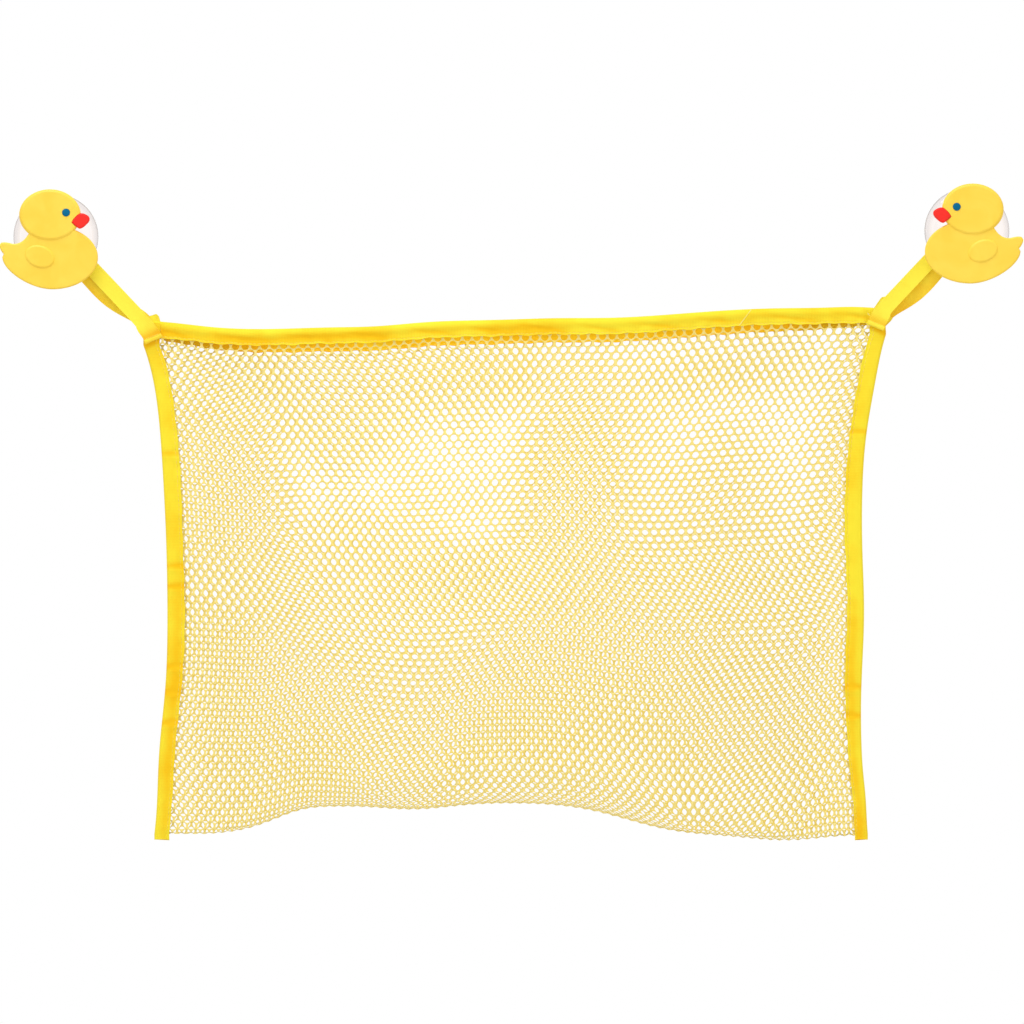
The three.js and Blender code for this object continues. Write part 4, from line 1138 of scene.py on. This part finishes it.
# Tape
def folded_section(s, radius, depth):
    """Sideways and inward places of a tape folded in half, at distances along its width from the fold."""
    quarter = math.pi / 4 * (radius + depth)
    angle = np.clip(s / quarter, -1, 1) * math.pi / 2
    side = radius * np.sin(angle)
    inward = depth * (1 - np.cos(angle)) + np.maximum(np.abs(s) - quarter, 0)
    return side, inward


def hem_path(front, thickness):
    """Returns the placing function of a hem and the two lengths of its tape."""
    half = BAG_TOP_WIDTH / 2
    bound = half - TAPE_WIDTH
    reach = bound + HEM_TUCK
    way = -1 if front else 1
    bow = MOUTH_BOW if front else MOUTH_BACK_BOW
    radius = HEM_HALF_THICKNESS - TAPE_THICKNESS / 2
    wide = 2 * (TAPE_WIDTH - 0.2)

    def tucked(x):
        """How far the end of the hem is pressed flat inside the binding."""
        return smooth(np.abs(x), bound - 4, bound + 0.5)

    def depth(x):
        return HANG_Y + way * (SEAM_TOP * (1 - 0.4 * tucked(x)) + bow * fullness(half - np.abs(x), half))

    def place(along, across):
        x = reach * (2 * along - 1)
        s = (across - 0.5) * wide
        side, inward = folded_section(s, radius, radius)
        # The tape rolls at the fold, is drawn in along its middle and stands off again at its edge.
        drawn = (0.8 + ripple(x, HEM_DRAWN)) * (1.2 - smooth(x, -70, 60))
        valley = 5.6 + ripple(x, HEM_VALLEY)
        # Soft folds slant down across it, one after another.
        turn = (x / 37 + 0.25 * np.sin(x / 61)) % 1
        slant = hump(inward, 2.5 + 6 * turn, 1.5) * np.sin(np.pi * turn)
        # Painted shade: the colour deepens along the drawn-in valley and under the slanting folds.
        tone = np.clip(0.8 * drawn * hump(inward, valley + 0.2, 2.9) + 0.6 * slant, 0, 1)
        puff = humps(inward, HEM_RELIEF) - 0.2 * drawn * hump(inward, valley, 2.1) - 0.25 * slant
        puff = puff + pucker(x, *HEM_PUCKER) * smooth(inward, 4, 9)
        side = side + np.sign(s) * puff * smooth(inward, 0.3, 2) * (1 - tucked(x))
        side = side * (1 - HEM_PRESSED * tucked(x))
        slope = depth(x + 0.5) - depth(x - 0.5)
        y = depth(x) + side * way * np.sqrt(1 + slope ** 2)
        top = hem_top((x + half) / (2 * half), front) - thickness / 2
        z = top - inward + ripple(x, HEM_SCALLOPS) * smooth(inward, 6, 10)
        # The inner face, which looks into the bag, is painted in shade all over.
        tone = np.where(s > 0, tone, HEM_INNER_PAINTED_SHADE)
        return np.stack([BAG_SHIFT + x, y, z], -1), np.stack([x, s], -1), tone

    return place, 2 * reach, wide


def hem_join(thickness):
    """Returns the placing function of the slanting cut where the tape of the front hem is joined."""
    place, long, wide = hem_path(True, thickness)

    def strip(along, across):
        s = 0.6 + along * (wide / 2 - 0.7)
        x = JOIN_PLACE - JOIN_SLANT * s + (across - 0.5) * JOIN_WIDTH
        points, texture, _tone = place(x / long + 0.5, s / wide + 0.5)
        points[:, 1] -= thickness / 2 + 0.05
        return points, texture, np.zeros(len(s))

    return strip


def sewn_run(name, side):
    """Directions of a loop from its neck to the corner and of its sewn end, which turns down from there."""
    straight = FLEX[name] - cup_centre(name)
    straight[1] = 0
    straight = unit(straight)
    turn = side * math.radians(LOOP_SEWN_TURN)
    return straight, np.array((straight[0] * math.cos(turn) - straight[2] * math.sin(turn), 0,
                               straight[0] * math.sin(turn) + straight[2] * math.cos(turn)))


def binding_path(name, side):
    """Returns the placing function of a side binding and the two lengths of its tape."""
    end = 0.0 if side < 0 else 1.0
    top = float(top_line(end))
    foot = FOLD_Z - TAPE_TAIL
    start = float(hem_top(end, True)) - TAPE_THICKNESS - NET_TUCK
    wide = 2 * (TAPE_WIDTH + BINDING_OVERLAP)
    flex = FLEX[name]
    _straight, run = sewn_run(name, side)

    def place(along, across):
        cut = 0.8 * (across - 0.5)
        z = top + (foot - top) * along - cut * smooth(along, 0.97, 1)
        share = (start - z) / (start - FOLD_Z)
        s = (across - 0.5) * wide
        radius = seam_gap(share) + NET_THICKNESS / 2 + CLEARANCE + TAPE_THICKNESS / 2
        radius = radius * (1 - 0.35 * smooth(share, 0.985, 1.01))
        away, inward = folded_section(s, radius, 1.1)
        below = smooth(share, 0.05, 0.12)
        pleat = sum(hump(z, height, 1.5) for height in BINDING_PLEATS[name])
        # Just under each pleat: a small dip and painted shadow.
        pleat_shade = sum(hump(z, height + 2.6, 1.9) for height in BINDING_PLEATS[name])
        puff = below * humps(inward, BINDING_ROLLS) + humps(inward, (BINDING_SEAM,))
        puff = puff + 0.3 * pleat - 0.2 * pleat_shade
        puff = puff + pucker(z, *BINDING_PUCKER) * smooth(inward, 4, 9) * below
        away = away + np.sign(s) * puff * smooth(inward, 0.3, 2)
        outline = half_width(np.minimum(share, 1)) + stray(share, side) - 0.3 + 0.2 * np.sin(z / 37)
        # Towards the foot the tape is drawn together and looks narrower.
        narrow = 1 - BINDING_NARROWING[name] * smooth(share, 0.6, 1.0)
        wander = ripple(z, ((0.25, 14, side), (0.18, 3.3, 0)))
        x = middle(share) + side * outline - side * narrow * (inward + wander * smooth(inward, 5, 10))
        # Painted shade: a deeper band down the middle of the tape, deeper still on its lower part, and
        # painted shadow under the pleats.
        tone = (0.2 + 0.5 * smooth(share, 0.48, 0.6)) * hump(inward, 6.0, 3.4) + 0.8 * pleat_shade
        # Painted shadow is deepest just under the loop's lip, on the front face.
        beyond = (x - flex[0]) * run[0] + (z - flex[2]) * run[2] - LOOP_SEWN_LENGTH[name]
        tone = np.maximum(np.clip(tone, 0, 1), hump(beyond, 1.8, 1.7) * (s < 0))
        return np.stack([x, HANG_Y + away, z], -1), np.stack([z, s], -1), tone

    return place, top - foot, wide


def tape_cloth(tape):
    known = bpy.data.materials.get("woven_polyester_tape")
    return known or woven_cloth("woven_polyester_tape", tape.colour, tape.shade, tape.rib, 0.75)


def sew_tape(tape, name, path, steps, node):
    """Makes one folded tape of the bag from its placing function; the lengths given with it are not used."""
    place, long, wide = path
    bm = cloth_strip(place, steps, TAPE_RIBS, tape.thickness / MM)
    obj = piece_from(bm, name, tape_cloth(tape), sharp=60)
    belongs(obj, "bag", "yellow_tape", node)


class ORGANIZER_OT_hems(bpy.types.Operator):
    """Fold the tape over the two mouth edges of the net"""

    bl_idname = "organizer.hems"
    bl_label = "Mouth Hems"

    def execute(self, context):
        tape = context.scene.organizer_tape
        thickness = tape.thickness / MM
        for name, front in HEMS:
            path = hem_path(front, thickness)
            sew_tape(tape, f"{name}_hem_tape", path, HEM_STEPS, f"{name}_hem")
        edge = soft_pvc("heat_cut_polyester", tape.cut_colour, tape.colour, 0.5)
        join = cloth_strip(hem_join(thickness), JOIN_STEPS, 2, JOIN_THICKNESS)
        belongs(piece_from(join, "front_hem_join", edge), "bag", "yellow_tape")
        return {"FINISHED"}


class ORGANIZER_OT_bindings(bpy.types.Operator):
    """Fold the tape over the two sides of the bag"""

    bl_idname = "organizer.bindings"
    bl_label = "Side Bindings"

    def execute(self, context):
        for name, side in SIDES:
            sew_tape(context.scene.organizer_tape, f"{name}_binding_tape", binding_path(name, side),
                     BINDING_STEPS, f"{name}_binding")
        return {"FINISHED"}


# Loops
def neck_frame(name, side):
    """The neck's middle, the directions along and across the loop, and how the ribbon wraps the neck."""
    neck = cup_centre(name) + TO_WALL * HANG_Y
    flex = FLEX[name]
    reach = math.hypot(flex[0] - neck[0], flex[2] - neck[2])
    along = np.array(((flex[0] - neck[0]) / reach, 0, (flex[2] - neck[2]) / reach))
    across = np.array((side * along[2], 0, -side * along[0]))
    wrap = NECK / 2 + CLEARANCE + LOOP_HALF_THICKNESS
    return neck, along, across, wrap, math.asin(wrap / reach)


def strand(name, side, way):
    """Centres, width directions and widths of one strand, from the neck of the cup down to the corner."""
    neck, along, across, wrap, lean = neck_frame(name, side)
    start = neck + across * way * wrap * math.cos(lean) + along * wrap * math.sin(lean)
    end = FLEX[name] - TO_WALL * way * FLAP_Y
    length = np.linalg.norm(end - start)
    t = np.linspace(0, 1, STRAND_STEPS)[:, None]
    # The front strand only settles a little, and the longer rear one hangs in a bow.
    bow = LOOP_SAG[name][way] * smooth(t, 0, LOOP_SAG_REACH[way])
    if way < 0:
        bow = bow + LOOP_SLACK[name] * np.sin(np.pi * t ** 1.6) ** 2
    centre = start + (end - start) * t - across * bow
    centre[:, 1] = start[1] + (end[1] - start[1]) * t[:, 0] ** 2
    run = unit(np.gradient(centre, axis=0))
    twist = math.pi / 2 * smooth(t * length, 0, LOOP_TWIST_LENGTH)
    normal = across * way * np.cos(twist) - TO_WALL * way * np.sin(twist)
    normal = unit(normal - run * (normal * run).sum(1, keepdims=True))
    wide = -way * np.cross(run, normal)
    width = RIBBON_GATHER + (RIBBON_WIDTH - RIBBON_GATHER) * (1 - np.cos(twist[:, 0]))
    return centre, wide, width


def sewn_flap(name, side, way):
    """Centres, width directions, widths and painted shade of the sewn end, from the corner down."""
    straight, run = sewn_run(name, side)
    across = np.array((side * straight[2], 0, -side * straight[0]))
    length = LOOP_SEWN_LENGTH[name]
    d = np.linspace(0, 1, FLAP_STEPS)[1:, None] * length
    crease = length - LIP_LENGTH
    centre = FLEX[name] + run * d - TO_WALL * way * FLAP_Y
    centre -= across * LOOP_SAG[name][way] * (1 - smooth(d, 0, length))
    # Painted shade in the crease above the lip.
    tone = SEWN_PAINTED_SHADE * hump(d, crease - 0.8, 3.2)
    if way > 0:
        # It rises over the corner and is drawn down by its stitches.
        lift = smooth(d, 0.5, 4) - 0.6 * smooth(d, 4.5, crease) + smooth(d, crease, length - 0.5)
        centre = centre - TO_WALL * lift
        # The painted shade stops where the lip turns under.
        tone = tone * (1 - smooth(d, crease, crease + 0.8))
        # Its end is turned under, which makes a rounded lip.
        angle = np.linspace(0, np.pi, 9)[1:, None]
        lip = centre[-1] + LIP_RADIUS * (run * np.sin(angle) + TO_WALL * (1 - np.cos(angle)))
        under = lip[-1] - run * np.linspace(0, LIP_UNDER, 5)[1:, None]
        centre = np.concatenate([centre, lip, under])
    wide = np.repeat(np.array(((-run[2], 0, run[0]),)), len(centre), axis=0)
    # The ribbon opens out where it is sewn flat.
    d = d[:, 0]
    width = RIBBON_WIDTH + (LOOP_SEWN_WIDTH[name] - RIBBON_WIDTH) * smooth(d, 0, length)
    width = width + 1.2 * hump(d, 3.5, 3.5)
    rest = len(centre) - len(d)
    return centre, wide, np.append(width, np.full(rest, width[-1])), np.append(tone[:, 0], np.zeros(rest))


def loop_stations(name, side):
    """The whole ribbon: up the rear strand, over the neck and down the front strand."""
    neck, along, across, wrap, lean = neck_frame(name, side)
    angle = math.pi / 2 - lean + np.linspace(0, 1, NECK_STEPS)[1:-1, None] * (math.pi + 2 * lean)
    over = (neck + (along * np.cos(angle) + across * np.sin(angle)) * wrap)[::-1]
    # Painted shade: all along the rear strand, and on the front strand near the neck, in the duck's shadow.
    rear_painted_shade = REAR_PAINTED_SHADE[name]
    front_painted_shade = NECK_PAINTED_SHADE * (1 - smooth(np.linspace(0, 1, STRAND_STEPS), 0.05, 0.45))
    parts = [
        [a[::-1] for a in sewn_flap(name, side, -1)],
        [*(a[::-1] for a in strand(name, side, -1)), np.full(STRAND_STEPS, rear_painted_shade)],
        [over, np.repeat(TO_WALL[None], len(over), axis=0), np.full(len(over), RIBBON_GATHER),
         np.linspace(rear_painted_shade, NECK_PAINTED_SHADE, len(over))],
        [*strand(name, side, 1), front_painted_shade],
        sewn_flap(name, side, 1),
    ]
    centre, wide, width, tone = (np.concatenate(field) for field in zip(*parts))
    for i in range(1, len(wide)):
        if wide[i] @ wide[i - 1] < 0:
            wide[i] *= -1
    corner = hump(np.linalg.norm((centre - FLEX[name])[:, [0, 2]], axis=1), 0, CORNER_REACH)[:, None]
    corner[-CORNER_FREE:] = 0
    for _ in range(CORNER_ROUNDS):
        for field in (centre, wide):
            mean = field.copy()
            mean[1:-1] = (field[:-2] + 2 * field[1:-1] + field[2:]) / 4
            field += (mean - field) * corner
    return centre, unit(wide), width, tone


def tail_stations(name):
    """The raw end of the ribbon, which stands up behind the corner."""
    (x, z), (run_x, run_z), width = TAILS[name]
    run = np.array((run_x, 0, run_z))
    tip = np.array((x, HANG_Y + FLAP_Y + 1.0, z))
    from_tip = np.linspace(TAIL_LENGTH, 0, TAIL_STATIONS)
    wide = np.repeat(np.array(((-run_z, 0, run_x),)), TAIL_STATIONS, axis=0)
    # Its corners are worn round.
    width = width * (1 - 0.35 * smooth(from_tip, TAIL_WORN, 0))
    return tip - run * from_tip[:, None], wide, width, np.zeros(TAIL_STATIONS)


def ribbon_path(centre, wide, width, tone):
    """Returns the placing function of a ribbon through its stations."""
    lengths = run_lengths(centre)
    face = unit(np.cross(np.gradient(centre, axis=0), wide))
    stops = np.linspace(0, 1, len(centre))

    def place(along, across):
        offset = ((across - 0.5) * np.interp(along, stops, width))[:, None]
        # A ribbon cups a little across its width.
        cup = (RIBBON_CUPPING * (2 * across - 1) ** 2)[:, None]
        points = read_at(along, stops, centre) + read_at(along, stops, wide) * offset
        points = points + read_at(along, stops, face) * cup
        texture = np.stack([np.interp(along, stops, lengths), offset[:, 0]], -1)
        return points, texture, np.interp(along, stops, tone)

    return place


class ORGANIZER_OT_loops(bpy.types.Operator):
    """Hang the two ribbon loops over the necks and sew them to the corners of the bag"""

    bl_idname = "organizer.loops"
    bl_label = "Hanging Loops"

    def execute(self, context):
        ribbon = context.scene.organizer_ribbon
        material = woven_cloth("woven_polyester_ribbon", ribbon.colour, ribbon.shade, ribbon.rib, 0.6)
        thickness = ribbon.thickness / MM
        for name, side in SIDES:
            centre, wide, width, tone = loop_stations(name, side)
            path = ribbon_path(centre, wide, width * (ribbon.width / MM / RIBBON_WIDTH), tone)
            bm = cloth_strip(path, len(centre) - 1, RIBBON_RIBS, thickness)
            obj = piece_from(bm, f"{name}_loop_ribbon", material, sharp=60)
            self.attach(obj, name)
            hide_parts(f"{name}_loop", f"{name}_loop_end")
            bm = cloth_strip(ribbon_path(*tail_stations(name)), TAIL_STATIONS - 1, TAIL_RIBS, thickness)
            self.attach(piece_from(bm, f"{name}_loop_tail", material, sharp=60), name)
        return {"FINISHED"}

    def attach(self, obj, name):
        """The ribbon, which runs from the hooks to the bag round the line at the corner, has its placing
        baked into its mesh and is tied to no body.
        """
        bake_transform(obj)


# Stitching
def stitch_row(bm, points, outward, pitch, thread):
    """Lays stitches along a line: each is a short bead of thread, about half sunk into the cloth."""
    lengths = run_lengths(points)
    size = Matrix.Diagonal((pitch * STITCH_HALF, thread / 2, thread / 2, 1))
    lying = Matrix.Rotation(math.pi / 2, 4, "Y")
    for i in range(int(lengths[-1] / pitch)):
        middle_at = (i + 0.5) * pitch
        ends = middle_at + pitch * STITCH_REACH * np.array((-1, 0, 1))
        before, here, after = read_at(ends, lengths, points)
        run = Vector(after - before).normalized()
        out = Vector(read_at(middle_at, lengths, outward))
        out = (out - run * out.dot(run)).normalized()
        turn = Matrix((run, out.cross(run), out)).transposed().to_4x4()
        bmesh.ops.create_uvsphere(bm, u_segments=6, v_segments=5, radius=1,
                                  matrix=Matrix.Translation(Vector(here)) @ turn @ size @ lying)


def seam_line(place, across, lift):
    """A line along a tape and the direction out of its face, read from the placing function."""
    along = np.linspace(SEAM_INSET, 1 - SEAM_INSET, SEAM_POINTS)

    def line_at(value):
        return place(along, np.full(SEAM_POINTS, value))[0]

    line = line_at(across)
    out = unit(np.cross(np.gradient(line, axis=0), line_at(across + 0.01) - line))
    out *= np.sign((out * (line - line_at(1 - across))).sum(1, keepdims=True))
    return line + out * lift, out


class ORGANIZER_OT_stitching(bpy.types.Operator):
    """Sew the hems, the bindings and the ends of the loops"""

    bl_idname = "organizer.stitching"
    bl_label = "Stitching"

    def execute(self, context):
        tape = context.scene.organizer_tape
        thread = tape.thread / MM
        thickness = tape.thickness / MM
        material = sewing_thread(tape.thread_colour)
        seams = [(f"{n}_hem_stitches", hem_path(f, thickness)) for n, f in HEMS]
        seams += [(f"{n}_binding_stitches", binding_path(n, s)) for n, s in SIDES]
        for name, (place, _long, wide) in seams:
            bm = bmesh.new()
            for face in (-1, 1):
                line, out = seam_line(place, 0.5 + face * SEAM_FROM_FOLD / wide, thickness / 2 + STITCH_LIFT)
                stitch_row(bm, line, out, tape.stitch / MM, thread)
            belongs(piece_from(bm, name, material), "bag", "yellow_tape")
        for name, side in SIDES:
            bm = bmesh.new()
            centre, wide, width, _tone = (field[FLAP_SEAM_STATION] for field in sewn_flap(name, side, 1))
            across = np.linspace(-FLAP_SEAM_HALF, FLAP_SEAM_HALF, FLAP_SEAM_POINTS)[:, None]
            line = centre + wide * across * width - TO_WALL * FLAP_SEAM_LIFT
            stitch_row(bm, line, np.repeat(-TO_WALL[None], len(line), axis=0), FLAP_STITCH, thread)
            belongs(piece_from(bm, f"{name}_loop_stitches", material), "bag", "yellow_ribbon")
        return {"FINISHED"}


class ORGANIZER_OT_stage(bpy.types.Operator):
    """Set the floor, the lamps, the white surroundings and the camera"""

    bl_idname = "organizer.stage"
    bl_label = "Stage"

    def execute(self, context):
        scene = context.scene
        stage = scene.organizer_stage
        scene.view_settings.view_transform = "Standard"
        bm = bmesh.new()
        bmesh.ops.create_grid(bm, x_segments=FLOOR_CELLS, y_segments=FLOOR_CELLS, size=FLOOR_HALF)
        bmesh.ops.translate(bm, vec=FLOOR_PLACE, verts=bm.verts)
        piece_from(bm, "floor", pale_floor(stage.floor))
        self.surroundings(scene, stage)
        self.lamp("key", *KEY_LAMP, stage.key)
        self.lamp("top", *TOP_LAMP, stage.top)
        self.lamp("side_fill", *SIDE_LAMP, stage.key * SIDE_SHARE)
        self.camera(scene, stage)
        return {"FINISHED"}

    def surroundings(self, scene, stage):
        """White to the eye, to gloss and through clear plastic, and a plain fill light on the rest."""
        world = bpy.data.worlds.new("white_surroundings")
        world.use_nodes = True
        scene.world = world
        tree = world.node_tree
        seen = add_node(tree, "ShaderNodeLightPath").outputs
        either = add_node(tree, "ShaderNodeMath", links={0: seen["Is Camera Ray"], 1: seen["Is Glossy Ray"]},
                          operation="MAXIMUM").outputs["Value"]
        any_of = add_node(tree, "ShaderNodeMath", links={0: either, 1: seen["Is Transmission Ray"]},
                          operation="MAXIMUM").outputs["Value"]
        light = two_tones(tree, any_of, darker(stage.fill, stage.sky), (1, 1, 1), 0, 1)
        tree.links.new(light, tree.nodes["Background"].inputs["Color"])

    def lamp(self, name, place, size, power):
        light = bpy.data.lights.new(name, "AREA")
        light.shape = "DISK"
        light.size = size * MM
        light.energy = power
        lamp = bpy.data.objects.new(name, light)
        bpy.context.scene.collection.objects.link(lamp)
        lamp.location = Vector(place) * MM
        lamp.rotation_euler = (Vector(LAMP_AIM) - Vector(place)).to_track_quat("-Z", "Y").to_euler()

    def camera(self, scene, stage):
        data = bpy.data.cameras.new("camera")
        data.sensor_width = SENSOR_WIDTH
        data.lens = SENSOR_WIDTH * stage.distance / stage.view
        camera = bpy.data.objects.new("camera", data)
        scene.collection.objects.link(camera)
        camera.location = (CAMERA_X * MM, VIEW_PLANE_Y * MM - stage.distance, CAMERA_Z * MM)
        camera.rotation_euler = (math.pi / 2, 0, 0)
        scene.camera = camera


PIECES = (
    ORGANIZER_OT_stage,
    ORGANIZER_OT_suction_cups,
    ORGANIZER_OT_duck_plates,
    ORGANIZER_OT_duck_faces,
    ORGANIZER_OT_net,
    ORGANIZER_OT_hems,
    ORGANIZER_OT_bindings,
    ORGANIZER_OT_loops,
    ORGANIZER_OT_stitching,
)
SETTINGS = {
    "organizer_net": OrganizerNet,
    "organizer_tape": OrganizerTape,
    "organizer_ribbon": OrganizerRibbon,
    "organizer_duck": OrganizerDuck,
    "organizer_cup": OrganizerCup,
    "organizer_stage": OrganizerStage,
}


class ORGANIZER_PT_panel(bpy.types.Panel):
    """Lists the pieces and their settings"""

    bl_idname = "ORGANIZER_PT_panel"
    bl_label = "Bath Toy Organizer"
    bl_space_type = "VIEW_3D"
    bl_region_type = "UI"
    bl_category = "Organizer"

    def draw(self, context):
        for operator in PIECES:
            self.layout.operator(operator.bl_idname)
        for name in SETTINGS:
            box = self.layout.box()
            settings = getattr(context.scene, name)
            for key in settings.__annotations__:
                box.prop(settings, key)


CLASSES = (*SETTINGS.values(), *PIECES, ORGANIZER_PT_panel)


def register():
    for cls in CLASSES:
        bpy.utils.register_class(cls)
    for name, cls in SETTINGS.items():
        setattr(bpy.types.Scene, name, PointerProperty(type=cls))


def unregister():
    for name in SETTINGS:
        delattr(bpy.types.Scene, name)
    for cls in reversed(CLASSES):
        bpy.utils.unregister_class(cls)


def main():
    register()
    for operator in PIECES:
        group, name = operator.bl_idname.split(".")
        getattr(getattr(bpy.ops, group), name)()


if __name__ == "__main__":
    main()
